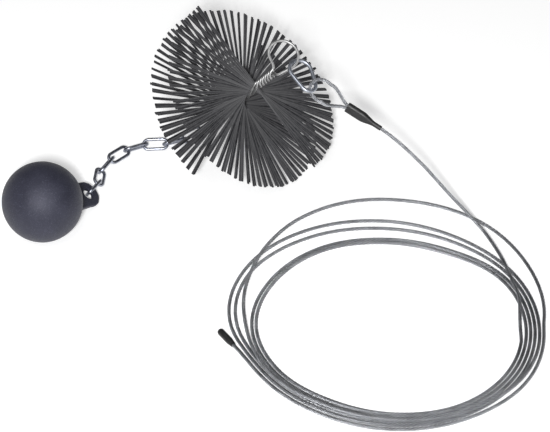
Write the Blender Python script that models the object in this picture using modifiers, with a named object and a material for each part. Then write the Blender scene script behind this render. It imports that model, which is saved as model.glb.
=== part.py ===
"""Chimney sweep brush: a cast iron ball on a chain, a twisted-in steel brush, a snap hook and a rope.

Metres, +Z up. The origin is the middle of the ground foot under the ball, on the floor.
The brush leans on its rim and on its lower eye, and the rope lies in a coil beside it.
"""

import math
import random

import bmesh
import bpy
from mathutils import Matrix, Vector

# Clearance between separate pieces, and how far a cutter runs past what it cuts
gap = 0.0003
overrun = 0.002

# Ball, with a ground foot and a cast ear
ball_diameter = 0.080
foot_diameter = 0.016
ear_reach = 0.0628
ear_radius = 0.014
ear_root_width = 0.034
ear_root_reach = 0.030
ear_thickness = 0.005
ear_root_thickness = 0.009
ear_edge_radius = 0.0013
ear_hole_diameter = 0.0115
ear_play = 0.0017
ear_azimuth_deg = 44.6
ear_dip_deg = 24.5
ear_roll_deg = 60.0

# Chain of welded round wire, long links
link_wire = 0.0032
link_inside_length = 0.0215
link_inside_width = 0.0070
link_play = 0.0006
eye_play = 0.0015
# Azimuth, rise and roll of each link, from the ball to the brush
link_poses_deg = (
    (67.1, -10.1, 0.0),
    (86.1, -6.1, 38.0),
    (62.5, 0.0, -52.0),
    (43.9, 0.0, 30.0),
    (24.1, 0.0, -55.0),
    (4.2, 0.0, 35.0),
    (20.5, 0.0, -50.0),
    (40.8, 0.0, 35.0),
)

# Brush: flat steel bristles between two folded wires, twisted up together
brush_diameter = 0.200
brush_depth = 0.052
brush_azimuth_deg = -26.1
brush_tilt_deg = 38.5
bundle_count = 85
strips_per_bundle = 2
strip_width = 0.0026
strip_thickness = 0.0002
strip_splay_deg = 0.7
strip_wander_deg = 0.35
strip_shortfall = 0.0012
bristle_turn_deg = 294.0
top_bristle_deg = 75.7
pack_count = 3
core_wire = 0.0028
core_strand_gap = 0.00035
bare_core_radius = 0.00295
core_blend = 0.006
upper_bare = 0.031
upper_bare_turn_deg = 570.7
lower_bare = 0.014
lower_bare_turn_deg = 199.3
core_end_setback = 0.001
eye_radius = 0.0153
upper_neck = 0.023
lower_neck = 0.0282
upper_eye_lean_deg = 16.0
upper_eye_side_lean_deg = 19.0
eye_arc_deg = 118.0

# Snap hook of bent wire, with a sprung gate on a rivet
hook_wire = 0.0038
hook_length = 0.040
hook_width = 0.0272
hook_narrow_width = 0.020
hook_play = 0.0005
hook_seat_deg = 104.0
hook_touch_deg = 111.5
hook_azimuth_deg = -60.8
hook_dip_deg = 24.4
hook_roll_deg = 9.2
nose_length = 0.0016
nose_reach = 0.0026
tang_thickness = 0.0014
tang_width = 0.0032
hinge_height = 0.0026
hinge_play = 0.0004
gate_slot_depth = 0.0039
gate_bore = 0.0024
gate_bore_depth = 0.0062
rivet_diameter = 0.0014
rivet_head_diameter = 0.0026
rivet_head = 0.0005
spring_wire = 0.0003
spring_turns = 5

# Rope, its pressed eye, the sleeve over the ferrule and the end sleeve
rope_diameter = 0.0036
rope_eye_radius = 0.0125
rope_eye_length = 0.045
rope_eye_arc_deg = 112.0
rope_azimuth_deg = -25.5
rope_dip_deg = 21.6
rope_roll_deg = 11.4
rope_seat_deg = -14.8
rope_play = 0.0009
ferrule_length = 0.014
ferrule_wall = 0.0008
ferrule_edge = 0.0006
sleeve_length = 0.040
sleeve_wall = 0.0004
sleeve_lap = 0.003
sleeve_taper = 0.009
end_sleeve_length = 0.024
end_sleeve_diameter = 0.0068
end_sleeve_grip = 0.014

# Coil on the floor, read by the hour from its right side, clockwise seen from above
coil_centre = (0.3382, -0.1350)
coil_radius = 0.1258
coil_start_hour = 1 / 3
coil_turns = 5.42
coil_tail = 0.015
loop_points = 24
# Radius of the first loop, and the step to the next one in rope diameters, at each hour
coil_radius_shares = (1.0, 0.998, 0.974, 0.930, 0.917, 0.970, 1.013, 0.996, 0.970, 0.925, 0.930, 1.014)
coil_step_shares = (1.17, 1.16, 1.17, 1.30, 1.33, 1.20, 1.18, 1.17, 1.17, 1.36, 1.42, 1.25)
# How far the outer loops stand off their place at these hours, in shares of the radius
fan_hours = (0, 1, 2, 3, 4, 5, 5.5, 6, 6.5, 7, 7.5, 8, 9, 10, 11, 12)
coil_fan_shares = (
    (0, 0, 0, 0, 0, 0, 0, 0, 0, 0, 0, 0, 0, 0, 0, 0),
    (0, 0, 0, 0, 0, 0, 0, 0, 0, 0, 0, 0, 0, 0, 0, 0),
    (0, 0, 0, 0, 0, 0, 0.023, 0.077, 0.125, 0.149, 0.135, 0.114, 0.087, 0.060, 0.008, 0),
    (0, 0, 0, 0, 0, 0, 0.025, 0.091, 0.141, 0.168, 0.175, 0.165, 0.135, 0.080, 0.012, 0),
    (0, 0, -0.04, -0.06, -0.07, -0.055, -0.06, -0.052, 0.004, 0.075, 0.163, 0.248, 0.347, 0.307, 0.12, 0),
    (0, 0, -0.029, -0.034, -0.036, -0.031, -0.010, 0.02, 0.02, 0, 0, 0, 0, 0, 0, 0),
)
# Between these hours of its fifth turn the rope lies on top of its other loops
ride_hours = (48.1, 48.9, 56.2, 57.4)
ride_height = 0.00415
# The lead between sleeve and coil, in shares of the way between their ends
lead_route_shares = (
    (0.098, 0.024, 0.097),
    (0.203, 0.064, 0.196),
    (0.334, 0.116, 0.342),
    (0.435, 0.159, 0.474),
    (0.544, 0.205, 0.620),
    (0.634, 0.237, 0.739),
    (0.715, 0.273, 0.838),
    (0.790, 0.326, 0.902),
    (0.856, 0.405, 0.931),
    (0.912, 0.496, 0.942),
    (0.961, 0.612, 0.942),
    (0.993, 0.694, 0.942),
    (1.010, 0.758, 0.942),
    (1.009, 0.812, 0.948),
    (1.004, 0.867, 0.966),
    (1.001, 0.926, 0.992),
)
lead_points = 42

brush_steel = ((0.16, 0.16, 0.17), 0.42, 0.9)
galvanised = ((0.55, 0.56, 0.58), 0.35, 1.0)
zinc = ((0.45, 0.49, 0.56), 0.28, 1.0)
dark_steel = ((0.20, 0.20, 0.24), 0.38, 0.9)
cast_coat = ((0.045, 0.047, 0.062), 0.55, 0.3)
rope_steel = ((0.50, 0.50, 0.50), 0.38, 1.0)
ferrule_metal = ((0.62, 0.62, 0.62), 0.35, 1.0)
black_plastic = ((0.015, 0.015, 0.015), 0.45, 0.0)

for old in list(bpy.data.objects):
    bpy.data.objects.remove(old, do_unlink=True)

parts = bpy.data.collections.new("chimney_sweep_brush")
cutters = bpy.data.collections.new("cutters")
bpy.context.scene.collection.children.link(parts)
bpy.context.scene.collection.children.link(cutters)


# Vectors and frames


def heading(azimuth_deg, rise_deg):
    azimuth = math.radians(azimuth_deg)
    rise = math.radians(rise_deg)
    level = math.cos(rise)
    return Vector((level * math.cos(azimuth), level * math.sin(azimuth), math.sin(rise)))


def level_side(direction):
    """The level unit vector to the left of a direction."""
    return Vector((0, 0, 1)).cross(direction).normalized()


def rolled(direction, roll_deg):
    """A unit vector square to a direction, turned from the upper side to the left one and on."""
    side = level_side(direction)
    over = direction.cross(side)
    roll = math.radians(roll_deg)
    return math.cos(roll) * over + math.sin(roll) * side


def frame(origin, x_axis, y_axis):
    """A placement from its origin, its X axis and a vector on its Y side."""
    x = Vector(x_axis).normalized()
    z = x.cross(Vector(y_axis)).normalized()
    y = z.cross(x)
    turn = Matrix((x, y, z)).transposed().to_4x4()
    return Matrix.Translation(origin) @ turn


def hinge_frame(origin, axis):
    """A placement whose Z axis is the hinge axis."""
    turn = Vector((0, 0, 1)).rotation_difference(axis.normalized()).to_matrix().to_4x4()
    return Matrix.Translation(origin) @ turn


def polar(radius, angle):
    return Vector((radius * math.cos(angle), radius * math.sin(angle), 0))


def arc(centre, radius, start, end, count):
    """Points on an arc in the XY plane, both ends included."""
    steps = [start + (end - start) * i / (count - 1) for i in range(count)]
    return [centre + polar(radius, a) for a in steps]


def hermite(start, start_tangent, end, end_tangent, count):
    """Points strictly between two ends of a smooth bend."""
    points = []
    for i in range(1, count):
        t = i / count
        a = 2 * t**3 - 3 * t**2 + 1
        b = t**3 - 2 * t**2 + t
        c = -2 * t**3 + 3 * t**2
        d = t**3 - t**2
        points.append(a * start + b * start_tangent + c * end + d * end_tangent)
    return points


def smooth_route(points, count):
    """Evenly spread points on a Catmull-Rom curve through the given ones."""
    ends = [2 * points[0] - points[1]] + list(points) + [2 * points[-1] - points[-2]]
    fine = []
    for i in range(1, len(ends) - 2):
        before, a, b, after = ends[i - 1 : i + 3]
        span = [a] + hermite(a, (b - before) / 2, b, (after - a) / 2, 16)
        fine.extend(span)
    fine.append(points[-1])
    reach = [0]
    for a, b in zip(fine, fine[1:]):
        reach.append(reach[-1] + (b - a).length)
    route = []
    k = 0
    for i in range(count):
        at = reach[-1] * i / (count - 1)
        while k < len(fine) - 2 and reach[k + 1] < at:
            k += 1
        share = (at - reach[k]) / (reach[k + 1] - reach[k])
        route.append(fine[k].lerp(fine[k + 1], share))
    return route


# Objects


def material(name, look):
    made = bpy.data.materials.get(name)
    if made is None:
        colour, roughness, metallic = look
        made = bpy.data.materials.new(name)
        made.use_nodes = True
        shader = made.node_tree.nodes["Principled BSDF"]
        shader.inputs["Base Color"].default_value = (*colour, 1)
        shader.inputs["Roughness"].default_value = roughness
        shader.inputs["Metallic"].default_value = metallic
    return made


def joint_empty(name, placement, parent=None):
    empty = bpy.data.objects.new(name, None)
    empty["placement"] = [x for row in placement for x in row]
    parts.objects.link(empty)
    put(empty, placement, parent)
    return empty


def put(obj, placement, parent=None):
    """Stand an object in its place, on its parent where it has one."""
    if parent is not None:
        rows = parent["placement"]
        at_parent = Matrix([rows[4 * i : 4 * i + 4] for i in range(4)])
        obj.parent = parent
        obj.matrix_parent_inverse = at_parent.inverted()
    obj.matrix_basis = placement
    return obj


def finish(obj, look_name, look, placement, parent=None):
    obj.data.materials.clear()
    obj.data.materials.append(material(look_name, look))
    parts.objects.link(obj)
    return put(obj, placement, parent)


def wire(name, points, diameter, resolution=2, cyclic=False):
    """A round wire along points, with closed ends."""
    curve = bpy.data.curves.new(name, "CURVE")
    curve.dimensions = "3D"
    curve.bevel_depth = diameter / 2
    curve.bevel_resolution = resolution
    curve.use_fill_caps = not cyclic
    line = curve.splines.new("POLY")
    line.points.add(len(points) - 1)
    for knot, p in zip(line.points, points):
        knot.co = (*p, 1)
    line.use_cyclic_u = cyclic
    line.use_smooth = True
    return bpy.data.objects.new(name, curve)


def plate(name, outline, thickness):
    """A flat outline in the XY plane, thickened to both sides."""
    curve = bpy.data.curves.new(name, "CURVE")
    curve.dimensions = "2D"
    curve.fill_mode = "BOTH"
    curve.extrude = thickness / 2
    line = curve.splines.new("POLY")
    line.points.add(len(outline) - 1)
    for knot, p in zip(line.points, outline):
        knot.co = (p[0], p[1], 0, 1)
    line.use_cyclic_u = True
    return bpy.data.objects.new(name, curve)


def as_mesh(obj):
    """A plain, welded mesh object in place of one with modifiers or a curve."""
    parts.objects.link(obj)
    bpy.context.view_layer.update()
    graph = bpy.context.evaluated_depsgraph_get()
    mesh = bpy.data.meshes.new_from_object(obj.evaluated_get(graph))
    name = obj.name
    placement = obj.matrix_world.copy()
    bpy.data.objects.remove(obj, do_unlink=True)
    work = bmesh.new()
    work.from_mesh(mesh)
    bmesh.ops.remove_doubles(work, verts=work.verts, dist=1e-6)
    work.to_mesh(mesh)
    work.free()
    mesh.name = name
    made = bpy.data.objects.new(name, mesh)
    made.matrix_world = placement
    return made


def cylinder(name, diameter, length, sides=24):
    """A cylinder about Z, halfway above and below its origin."""
    work = bmesh.new()
    r = diameter / 2
    bmesh.ops.create_cone(work, cap_ends=True, segments=sides, radius1=r, radius2=r, depth=length)
    return from_bmesh(name, work)


def box(name, size):
    work = bmesh.new()
    bmesh.ops.create_cube(work, size=1)
    bmesh.ops.scale(work, vec=size, verts=work.verts)
    return from_bmesh(name, work)


def from_bmesh(name, work):
    mesh = bpy.data.meshes.new(name)
    work.to_mesh(mesh)
    work.free()
    return bpy.data.objects.new(name, mesh)


def turned(name, profile, steps):
    """A profile of (radius, height) points turned about Z, top to bottom down its outer side."""
    mesh = bpy.data.meshes.new(name)
    edges = [(i, i + 1) for i in range(len(profile) - 1)]
    if profile[0] == profile[-1]:
        profile = profile[:-1]
        edges[-1] = (len(profile) - 1, 0)
    mesh.from_pydata([(r, 0, z) for r, z in profile], edges, [])
    obj = bpy.data.objects.new(name, mesh)
    screw = obj.modifiers.new("turn", "SCREW")
    screw.steps = steps
    screw.render_steps = steps
    screw.use_merge_vertices = True
    screw.merge_threshold = 0.00001
    screw.use_smooth_shade = True
    return as_mesh(obj)


def combine(obj, tool, operation):
    """Join or cut an object with another, placed in its frame and kept as a hidden cutter."""
    cutters.objects.link(tool)
    tool.parent = obj
    tool.hide_render = True
    tool.display_type = "WIRE"
    step = obj.modifiers.new(operation.lower(), "BOOLEAN")
    step.operation = operation
    step.solver = "EXACT"
    step.object = tool
    return obj


def smooth(obj):
    obj.data.shade_smooth()
    obj.data.set_sharp_from_angle(angle=math.radians(35))
    return obj


# Ball and ear

ball_radius = ball_diameter / 2
foot_radius = foot_diameter / 2
ball_height = math.sqrt(ball_radius**2 - foot_radius**2)
ball_centre = Vector((0, 0, ball_height))
ear_direction = heading(ear_azimuth_deg, -ear_dip_deg)
ear_side = level_side(ear_direction)
ear_up = ear_direction.cross(ear_side)
ear_roll = math.radians(ear_roll_deg)
ear_normal = math.sin(ear_roll) * ear_up - math.cos(ear_roll) * ear_side
hole_centre = ball_centre + ear_reach * ear_direction


def make_ball():
    foot_angle = math.asin(-ball_height / ball_radius)
    rings = 20
    profile = [(0, ball_radius)]
    for i in range(1, rings + 1):
        a = math.pi / 2 + (foot_angle - math.pi / 2) * i / rings
        profile.append((ball_radius * math.cos(a), ball_radius * math.sin(a)))
    profile.append((0, -ball_height))
    ball = turned("cast_iron_ball", profile, 36)
    combine(ball, make_ear(), "UNION")
    hole = cylinder("ear_hole", ear_hole_diameter, ear_root_thickness + 2 * overrun)
    hole.matrix_basis = frame(hole_centre - ball_centre, ear_direction, ear_normal.cross(ear_direction))
    combine(ball, hole, "DIFFERENCE")
    finish(smooth(ball), "cast_coat", cast_coat, Matrix.Translation(ball_centre))


def make_ear():
    """A tongue that leaves the ball wide and thick and ends in a round eye."""
    tip = Vector((ear_reach, 0, 0))
    spread = math.radians(100)
    outline = [Vector((ear_root_reach, -ear_root_width / 2, 0))]
    outline += arc(tip, ear_radius, -spread, spread, 17)
    outline.append(Vector((ear_root_reach, ear_root_width / 2, 0)))
    ear = as_mesh(plate("ear", outline, ear_thickness))
    draft = (ear_root_thickness / ear_thickness - 1) / (ear_reach - ear_root_reach)
    for v in ear.data.vertices:
        v.co.z *= 1 + draft * (ear_reach - v.co.x)
    edge = ear.modifiers.new("cast edges", "BEVEL")
    edge.width = ear_edge_radius
    edge.segments = 2
    edge.limit_method = "ANGLE"
    edge.angle_limit = math.radians(50)
    ear = as_mesh(ear)
    ear.matrix_basis = frame(Vector((0, 0, 0)), ear_direction, ear_normal.cross(ear_direction))
    return ear


# Chain


def link_places():
    """Near wire, far wire, direction and cross direction of each link."""
    places = []
    far = None
    for number, (azimuth, rise, roll) in enumerate(link_poses_deg):
        along = heading(azimuth, rise)
        if number == 0:
            across = (ear_normal - ear_normal.dot(along) * along).normalized()
            seat = ear_hole_diameter / 2 - link_wire / 2 - ear_play
            near = hole_centre + seat * along
        else:
            turn = math.radians(roll)
            side = level_side(along)
            across = math.cos(turn) * side + math.sin(turn) * along.cross(side)
            pull = (places[-1][2] + along).normalized()
            near = far - (link_wire + link_play) * pull
        far = near + (link_inside_length + link_wire) * along
        places.append((near, far, along, across))
    return places


def link_path():
    """The centreline of a link from its near wire, along X, with Y across."""
    radius = (link_inside_width + link_wire) / 2
    length = link_inside_length + link_wire
    quarter = math.pi / 2
    near = arc(Vector((radius, 0, 0)), radius, quarter, 3 * quarter, 9)
    far = arc(Vector((length - radius, 0, 0)), radius, -quarter, quarter, 9)
    return near + far


def make_chain(places):
    parent = None
    pivot, axis = hole_centre, ear_normal
    for number, (near, far, along, across) in enumerate(places, start=1):
        joint = joint_empty(f"hinge_link_{number}", hinge_frame(pivot, axis), parent)
        link = wire(f"chain_link_{number}", link_path(), link_wire, cyclic=True)
        finish(link, "dark_steel", dark_steel, frame(near, along, across), joint)
        parent, pivot, axis = joint, far, across
    return parent


# Brush core

brush_axis = Vector((0, 0, 1))
brush_axis.rotate(Matrix.Rotation(math.radians(brush_tilt_deg), 3, "Y"))
brush_axis.rotate(Matrix.Rotation(math.radians(brush_azimuth_deg), 3, "Z"))
neck_low = eye_radius + lower_neck
bristles_low = neck_low + lower_bare
bristles_high = bristles_low + brush_depth
neck_high = bristles_high + upper_bare


def bare_turn(distance, turn_deg, length):
    """How far the bare core has turned at a distance from the bristles."""
    slow = bristle_turn_deg / brush_depth
    fast = (turn_deg - slow * core_blend / 2) / (length - core_blend / 2)
    if distance < core_blend:
        return slow * distance + (fast - slow) * distance**2 / (2 * core_blend)
    return slow * core_blend / 2 + fast * (distance - core_blend / 2)


def twist_deg(height):
    """Direction of the bristles, or of the core's cross-section past them."""
    if height > bristles_high:
        return top_bristle_deg - bare_turn(height - bristles_high, upper_bare_turn_deg, upper_bare)
    if height < bristles_low:
        bottom = top_bristle_deg + bristle_turn_deg
        return bottom + bare_turn(bristles_low - height, lower_bare_turn_deg, lower_bare)
    return top_bristle_deg + bristle_turn_deg * (bristles_high - height) / brush_depth


def strand_point(quadrant, height):
    """Centre of one of the four core strands; they stand apart where the bristles pass."""
    past = max(height - bristles_high, bristles_low - height, 0)
    share = min(past / core_blend, 1)
    share = share * share * (3 - 2 * share)
    beside = (core_wire + core_strand_gap) / 2
    clear = strip_width / 2 + gap + core_wire / 2
    open_radius = math.hypot(beside, clear)
    open_angle = math.atan2(clear, beside)
    radius = open_radius + (bare_core_radius - open_radius) * share
    angle = open_angle + (math.pi / 4 - open_angle) * share
    offsets = (angle, math.pi - angle, math.pi + angle, 2 * math.pi - angle)
    point = polar(radius, offsets[quadrant] + math.radians(twist_deg(height)))
    return point + Vector((0, 0, height))


def strand(quadrant, low, high):
    """Points up a strand, closer together where it turns faster."""
    heights = [low]
    stops = [h for h in (bristles_low, bristles_high) if low < h < high] + [high]
    for stop in stops:
        start = heights[-1]
        inside = start >= bristles_low and stop <= bristles_high
        count = math.ceil((stop - start) / (core_wire * (1.3 if inside else 0.7)))
        heights += [start + (stop - start) * i / count for i in range(1, count + 1)]
    return [strand_point(quadrant, h) for h in heights]


def eye(quadrant, neck, direction, neck_length):
    """The bend from one strand round the eye to its twin, leaving the core at a neck."""
    up = direction.normalized()
    exit_point = strand_point(quadrant, neck)
    twin_point = strand_point((quadrant + 2) % 4, neck)
    side = (exit_point - twin_point).normalized()
    side = (side - side.dot(up) * up).normalized()
    middle = Vector((0, 0, neck)) + neck_length * up
    span = math.radians(eye_arc_deg)
    ring = []
    count = 20
    for i in range(count + 1):
        a = span - 2 * span * i / count
        ring.append(middle + eye_radius * (math.cos(a) * up + math.sin(a) * side))
    toward = 1 if up.z > 0 else -1
    step = core_wire * toward / 4
    rise = (exit_point - strand_point(quadrant, neck - step)).normalized()
    fall = (strand_point((quadrant + 2) % 4, neck - step) - twin_point).normalized()
    reach = (ring[0] - exit_point).length
    begin = math.sin(span) * up - math.cos(span) * side
    end = -math.sin(span) * up - math.cos(span) * side
    bend_in = hermite(exit_point, reach * rise, ring[0], reach * begin, 6)
    bend_out = hermite(ring[-1], reach * end, twin_point, reach * fall, 6)
    return bend_in + ring + bend_out, middle, up, side


def upper_eye_direction():
    lean = math.tan(math.radians(upper_eye_lean_deg))
    side_lean = math.tan(math.radians(upper_eye_side_lean_deg))
    return Vector((lean, side_lean, 1)).normalized()


def make_core(placement, parent):
    low_end = neck_low + core_end_setback
    high_end = neck_high - core_end_setback
    bend, middle, up, side = eye(0, neck_high, upper_eye_direction(), upper_neck)
    path = strand(0, low_end, neck_high) + bend + strand(2, low_end, neck_high)[::-1]
    upper = wire("core_wire_upper_eye", path, core_wire)
    finish(upper, "galvanised_wire", galvanised, placement, parent)
    bend = eye(1, neck_low, Vector((0, 0, -1)), lower_neck)[0]
    path = strand(1, neck_low, high_end)[::-1] + bend + strand(3, neck_low, high_end)
    lower = wire("core_wire_lower_eye", path, core_wire)
    finish(lower, "galvanised_wire", galvanised, placement, parent)
    return middle, up, side


def make_bristles(placement, parent):
    """Combs of flat strips with a slim bar between them, each strip turned by the twist."""
    seed = random.Random(7)
    strip_count = bundle_count * strips_per_bundle
    pitch = brush_depth / strip_count
    per_pack = math.ceil(strip_count / pack_count)
    names = ("bristles_low", "bristles_middle", "bristles_high")
    for pack in range(pack_count):
        first = pack * per_pack
        last = min(first + per_pack, strip_count)
        work = bmesh.new()
        bar_width = 2 * core_wire
        rows = []
        for k in range(first, last):
            height = bristles_low + (k + 0.5) * pitch
            bundle = (k // strips_per_bundle + 0.5) * strips_per_bundle * pitch + bristles_low
            splay = strip_splay_deg * (k % strips_per_bundle - 0.5)
            turn = twist_deg(bundle) + splay + seed.uniform(-1, 1) * strip_wander_deg
            for edge in (-0.5, 0.5):
                rows.append((height + edge * strip_thickness, math.radians(turn)))
        rings = [comb_section(work, bar_width, h, turn) for h, turn in rows]
        work.faces.new(rings[0][::-1])
        work.faces.new(rings[-1])
        strips = []
        for low, high in zip(rings, rings[1:]):
            for i in range(4):
                j = (i + 1) % 4
                side = work.faces.new((low[i], low[j], high[j], high[i]))
                if rings.index(low) % 2 == 0 and i % 2 == 0:
                    strips.append((side, rings.index(low)))
        for side, row in strips:
            turn = rows[row][1]
            outward = polar(1, turn)
            if outward.dot(side.calc_center_median()) < 0:
                outward = -outward
            short = seed.uniform(0, 1) * strip_shortfall
            reach = brush_diameter / 2 - bar_width / 2 - short
            new = bmesh.ops.extrude_discrete_faces(work, faces=[side])["faces"][0]
            bmesh.ops.translate(work, vec=reach * outward, verts=new.verts)
        bristles = from_bmesh(names[pack], work)
        finish(bristles, "brush_steel", brush_steel, placement, parent)


def comb_section(work, bar_width, height, turn):
    """The four corners of the bar at one edge of a strip."""
    corners = ((1, -1), (1, 1), (-1, 1), (-1, -1))
    made = []
    for across, over in corners:
        p = Vector((across * bar_width / 2, over * strip_width / 2, height))
        p.rotate(Matrix.Rotation(turn, 3, "Z"))
        made.append(work.verts.new(p))
    return made


# Snap hook, in its own plane: Y from the narrow end to the wide end, gate on +X

narrow_radius = (hook_narrow_width - hook_wire) / 2
wide_radius = (hook_width - hook_wire) / 2
wide_middle = 0
narrow_middle = wide_middle - (hook_length - hook_wire - wide_radius - narrow_radius)
flank = math.asin((wide_radius - narrow_radius) / (wide_middle - narrow_middle))
gate_foot = Vector((0, narrow_middle, 0)) + polar(narrow_radius, -flank)
gate_head = Vector((0, wide_middle, 0)) + polar(wide_radius, -flank)
gate_line = (gate_head - gate_foot).normalized()


def on_gate_line(height):
    return gate_foot + height * gate_line


def gate_frame(height):
    """X across the gate towards the outside, Y up along it."""
    origin = on_gate_line(height)
    return frame(origin, polar(1, -flank), gate_line)


def make_hook(placement, parent, gate_joint):
    flank_length = (gate_head - gate_foot).length
    wide = arc(Vector((0, wide_middle, 0)), wide_radius, -flank, math.pi + flank, 17)
    narrow_start = math.pi + flank
    narrow_end = 2 * math.pi - flank
    narrow = arc(Vector((0, narrow_middle, 0)), narrow_radius, narrow_start, narrow_end, 13)
    nose = on_gate_line(flank_length - nose_length)
    hinge_end = hinge_height - tang_width / 2 - gap - hinge_play
    path = [nose] + wide + narrow + [on_gate_line(hinge_end)]
    body = as_mesh(wire("hook_body", path, hook_wire, 3))
    tang_top = hinge_height + tang_width / 2
    tang_foot = hinge_end - hook_wire / 2
    tang = box("hinge_tang", (tang_width, tang_top - tang_foot, tang_thickness))
    tang.matrix_basis = gate_frame((tang_top + tang_foot) / 2)
    combine(body, tang, "UNION")
    nib_length = nose_reach + hook_wire / 2
    nib = box("nose_tang", (tang_width, nib_length, tang_thickness))
    nib.matrix_basis = gate_frame(flank_length - nose_length + hook_wire / 2 - nib_length / 2)
    combine(body, nib, "UNION")
    eye_hole = cylinder("tang_hole", rivet_diameter + 2 * gap, hook_wire, 12)
    eye_hole.matrix_basis = Matrix.Translation(on_gate_line(hinge_height))
    combine(body, eye_hole, "DIFFERENCE")
    finish(smooth(body), "zinc_hook", zinc, placement, parent)

    gate_low = hinge_height - tang_width / 2
    gate_high = flank_length - nose_length - gap
    length = gate_high - gate_low
    gate = cylinder("hook_gate", hook_wire, length, 16)
    stand = Matrix.Rotation(math.radians(-90), 4, "X")
    gate.data.transform(Matrix.Translation((0, length / 2, 0)) @ stand)
    for v in gate.data.vertices:
        v.co.y += gate_low - hinge_height
    for name, low, high in (
        ("hinge_slot", gate_low - overrun, gate_low + gate_slot_depth),
        ("nose_slot", gate_high - nose_reach - gap, gate_high + overrun),
    ):
        slot = box(name, (hook_wire + overrun, high - low, tang_thickness + 2 * gap))
        slot.matrix_basis = Matrix.Translation((0, (low + high) / 2 - hinge_height, 0))
        combine(gate, slot, "DIFFERENCE")
    bore_low = gate_low + gate_slot_depth - overrun
    bore_high = gate_low + gate_slot_depth + gate_bore_depth
    bore = cylinder("gate_bore", gate_bore, bore_high - bore_low, 12)
    bore.matrix_basis = Matrix.Translation((0, (bore_low + bore_high) / 2 - hinge_height, 0)) @ stand
    combine(gate, bore, "DIFFERENCE")
    hole = cylinder("fork_hole", rivet_diameter + 2 * gap, hook_wire + overrun, 12)
    combine(gate, hole, "DIFFERENCE")
    at_rivet = placement @ gate_frame(hinge_height)
    finish(smooth(gate), "zinc_hook", zinc, at_rivet, gate_joint)

    half = hook_wire / 2 + gap
    head = rivet_head_diameter / 2
    shank = rivet_diameter / 2
    end = half + rivet_head
    profile = [(0, end), (shank, end), (head, half), (shank, half)]
    profile += [(shank, -half), (head, -half), (shank, -end), (0, -end)]
    rivet = turned("gate_rivet", profile, 12)
    finish(smooth(rivet), "zinc_hook", zinc, at_rivet, parent)

    spring_low = tang_top - hinge_height + gap + spring_wire
    spring_high = bore_high - hinge_height - gap - spring_wire
    coil_radius = gate_bore / 2 - gap - spring_wire / 2
    points = []
    steps = spring_turns * 8
    for i in range(steps + 1):
        around = polar(coil_radius, 2 * math.pi * i / 8)
        height = spring_low + (spring_high - spring_low) * i / steps
        points.append(Vector((around.x, height, around.y)))
    spring = wire("gate_spring", points, spring_wire, 0)
    finish(spring, "zinc_hook", zinc, at_rivet, gate_joint)


# Rope


def make_rope_eye(placement, parent):
    """The soft eye with both legs held in the ferrule."""
    span = math.radians(rope_eye_arc_deg)
    middle = Vector((rope_eye_radius, 0, 0))
    count = 18
    ring = []
    for i in range(count + 1):
        a = math.pi + span - 2 * span * i / count
        ring.append(middle + Vector((rope_eye_radius * math.cos(a), 0, rope_eye_radius * math.sin(a))))
    entry = rope_eye_length - rope_diameter
    leg_end = rope_eye_length + ferrule_length
    path = [Vector((leg_end, 0, -leg_offset)), Vector((entry, 0, -leg_offset))]
    path_end = [Vector((entry, 0, leg_offset)), Vector((leg_end, 0, leg_offset))]
    reach = (ring[0] - path[-1]).length
    tangent = Vector((math.sin(span), 0, -math.cos(span)))
    low_bend = hermite(path[-1], Vector((-reach, 0, 0)), ring[0], -reach * mirrored(tangent), 7)
    high_bend = hermite(ring[-1], reach * tangent, path_end[0], Vector((reach, 0, 0)), 7)
    loop = wire("rope_eye", path + low_bend + ring + high_bend + path_end, rope_diameter)
    finish(loop, "rope_steel", rope_steel, placement, parent)


def mirrored(vector):
    return Vector((vector.x, vector.y, -vector.z))


def oval_tube(name, stations, steps):
    """A tube along X round two ropes: a turned tube whose upper and lower halves stand apart.

    A station is (place, outer radius, inner radius, how far each half stands off the middle).
    """
    outer = [(wide, -x) for x, wide, _, _ in stations]
    inner = [(wide, -x) for x, _, wide, _ in stations]
    tube = turned(name, outer + inner[::-1] + outer[:1], steps)
    tube.data.transform(Matrix.Rotation(math.radians(-90), 4, "Y"))
    places = [s[0] for s in stations]
    for v in tube.data.vertices:
        k = min(range(len(places)), key=lambda i: abs(places[i] - v.co.x))
        across = v.co.z / math.hypot(v.co.y, v.co.z)
        lean = max(-1, min(1, 10 * across))
        v.co.z += lean * stations[k][3]
    return tube


bore_radius = rope_diameter / 2 + gap
leg_offset = rope_diameter / 2 + gap / 2


def make_ferrule(placement, parent):
    low = rope_eye_length
    high = low + ferrule_length
    outer = bore_radius + ferrule_wall
    stations = (
        (low, outer - ferrule_edge / 2, bore_radius, leg_offset),
        (low + ferrule_edge, outer, bore_radius, leg_offset),
        (high - ferrule_edge, outer, bore_radius, leg_offset),
        (high, outer - ferrule_edge / 2, bore_radius, leg_offset),
    )
    ferrule = oval_tube("ferrule", stations, 24)
    finish(smooth(ferrule), "ferrule_metal", ferrule_metal, placement, parent)


def make_sleeve(placement, parent):
    low = rope_eye_length - sleeve_lap
    over = rope_eye_length + ferrule_length + gap
    small = over + sleeve_taper
    high = low + sleeve_length
    wide = bore_radius + ferrule_wall + gap
    stations = []
    for place, inner, lift in (
        (low, wide, leg_offset),
        (over, wide, leg_offset),
        (small, bore_radius, 0),
        (high, bore_radius, 0),
    ):
        stations.append((place, inner + sleeve_wall, inner, lift))
    sleeve = oval_tube("shrink_sleeve", stations, 24)
    finish(smooth(sleeve), "black_plastic", black_plastic, placement, parent)


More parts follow.
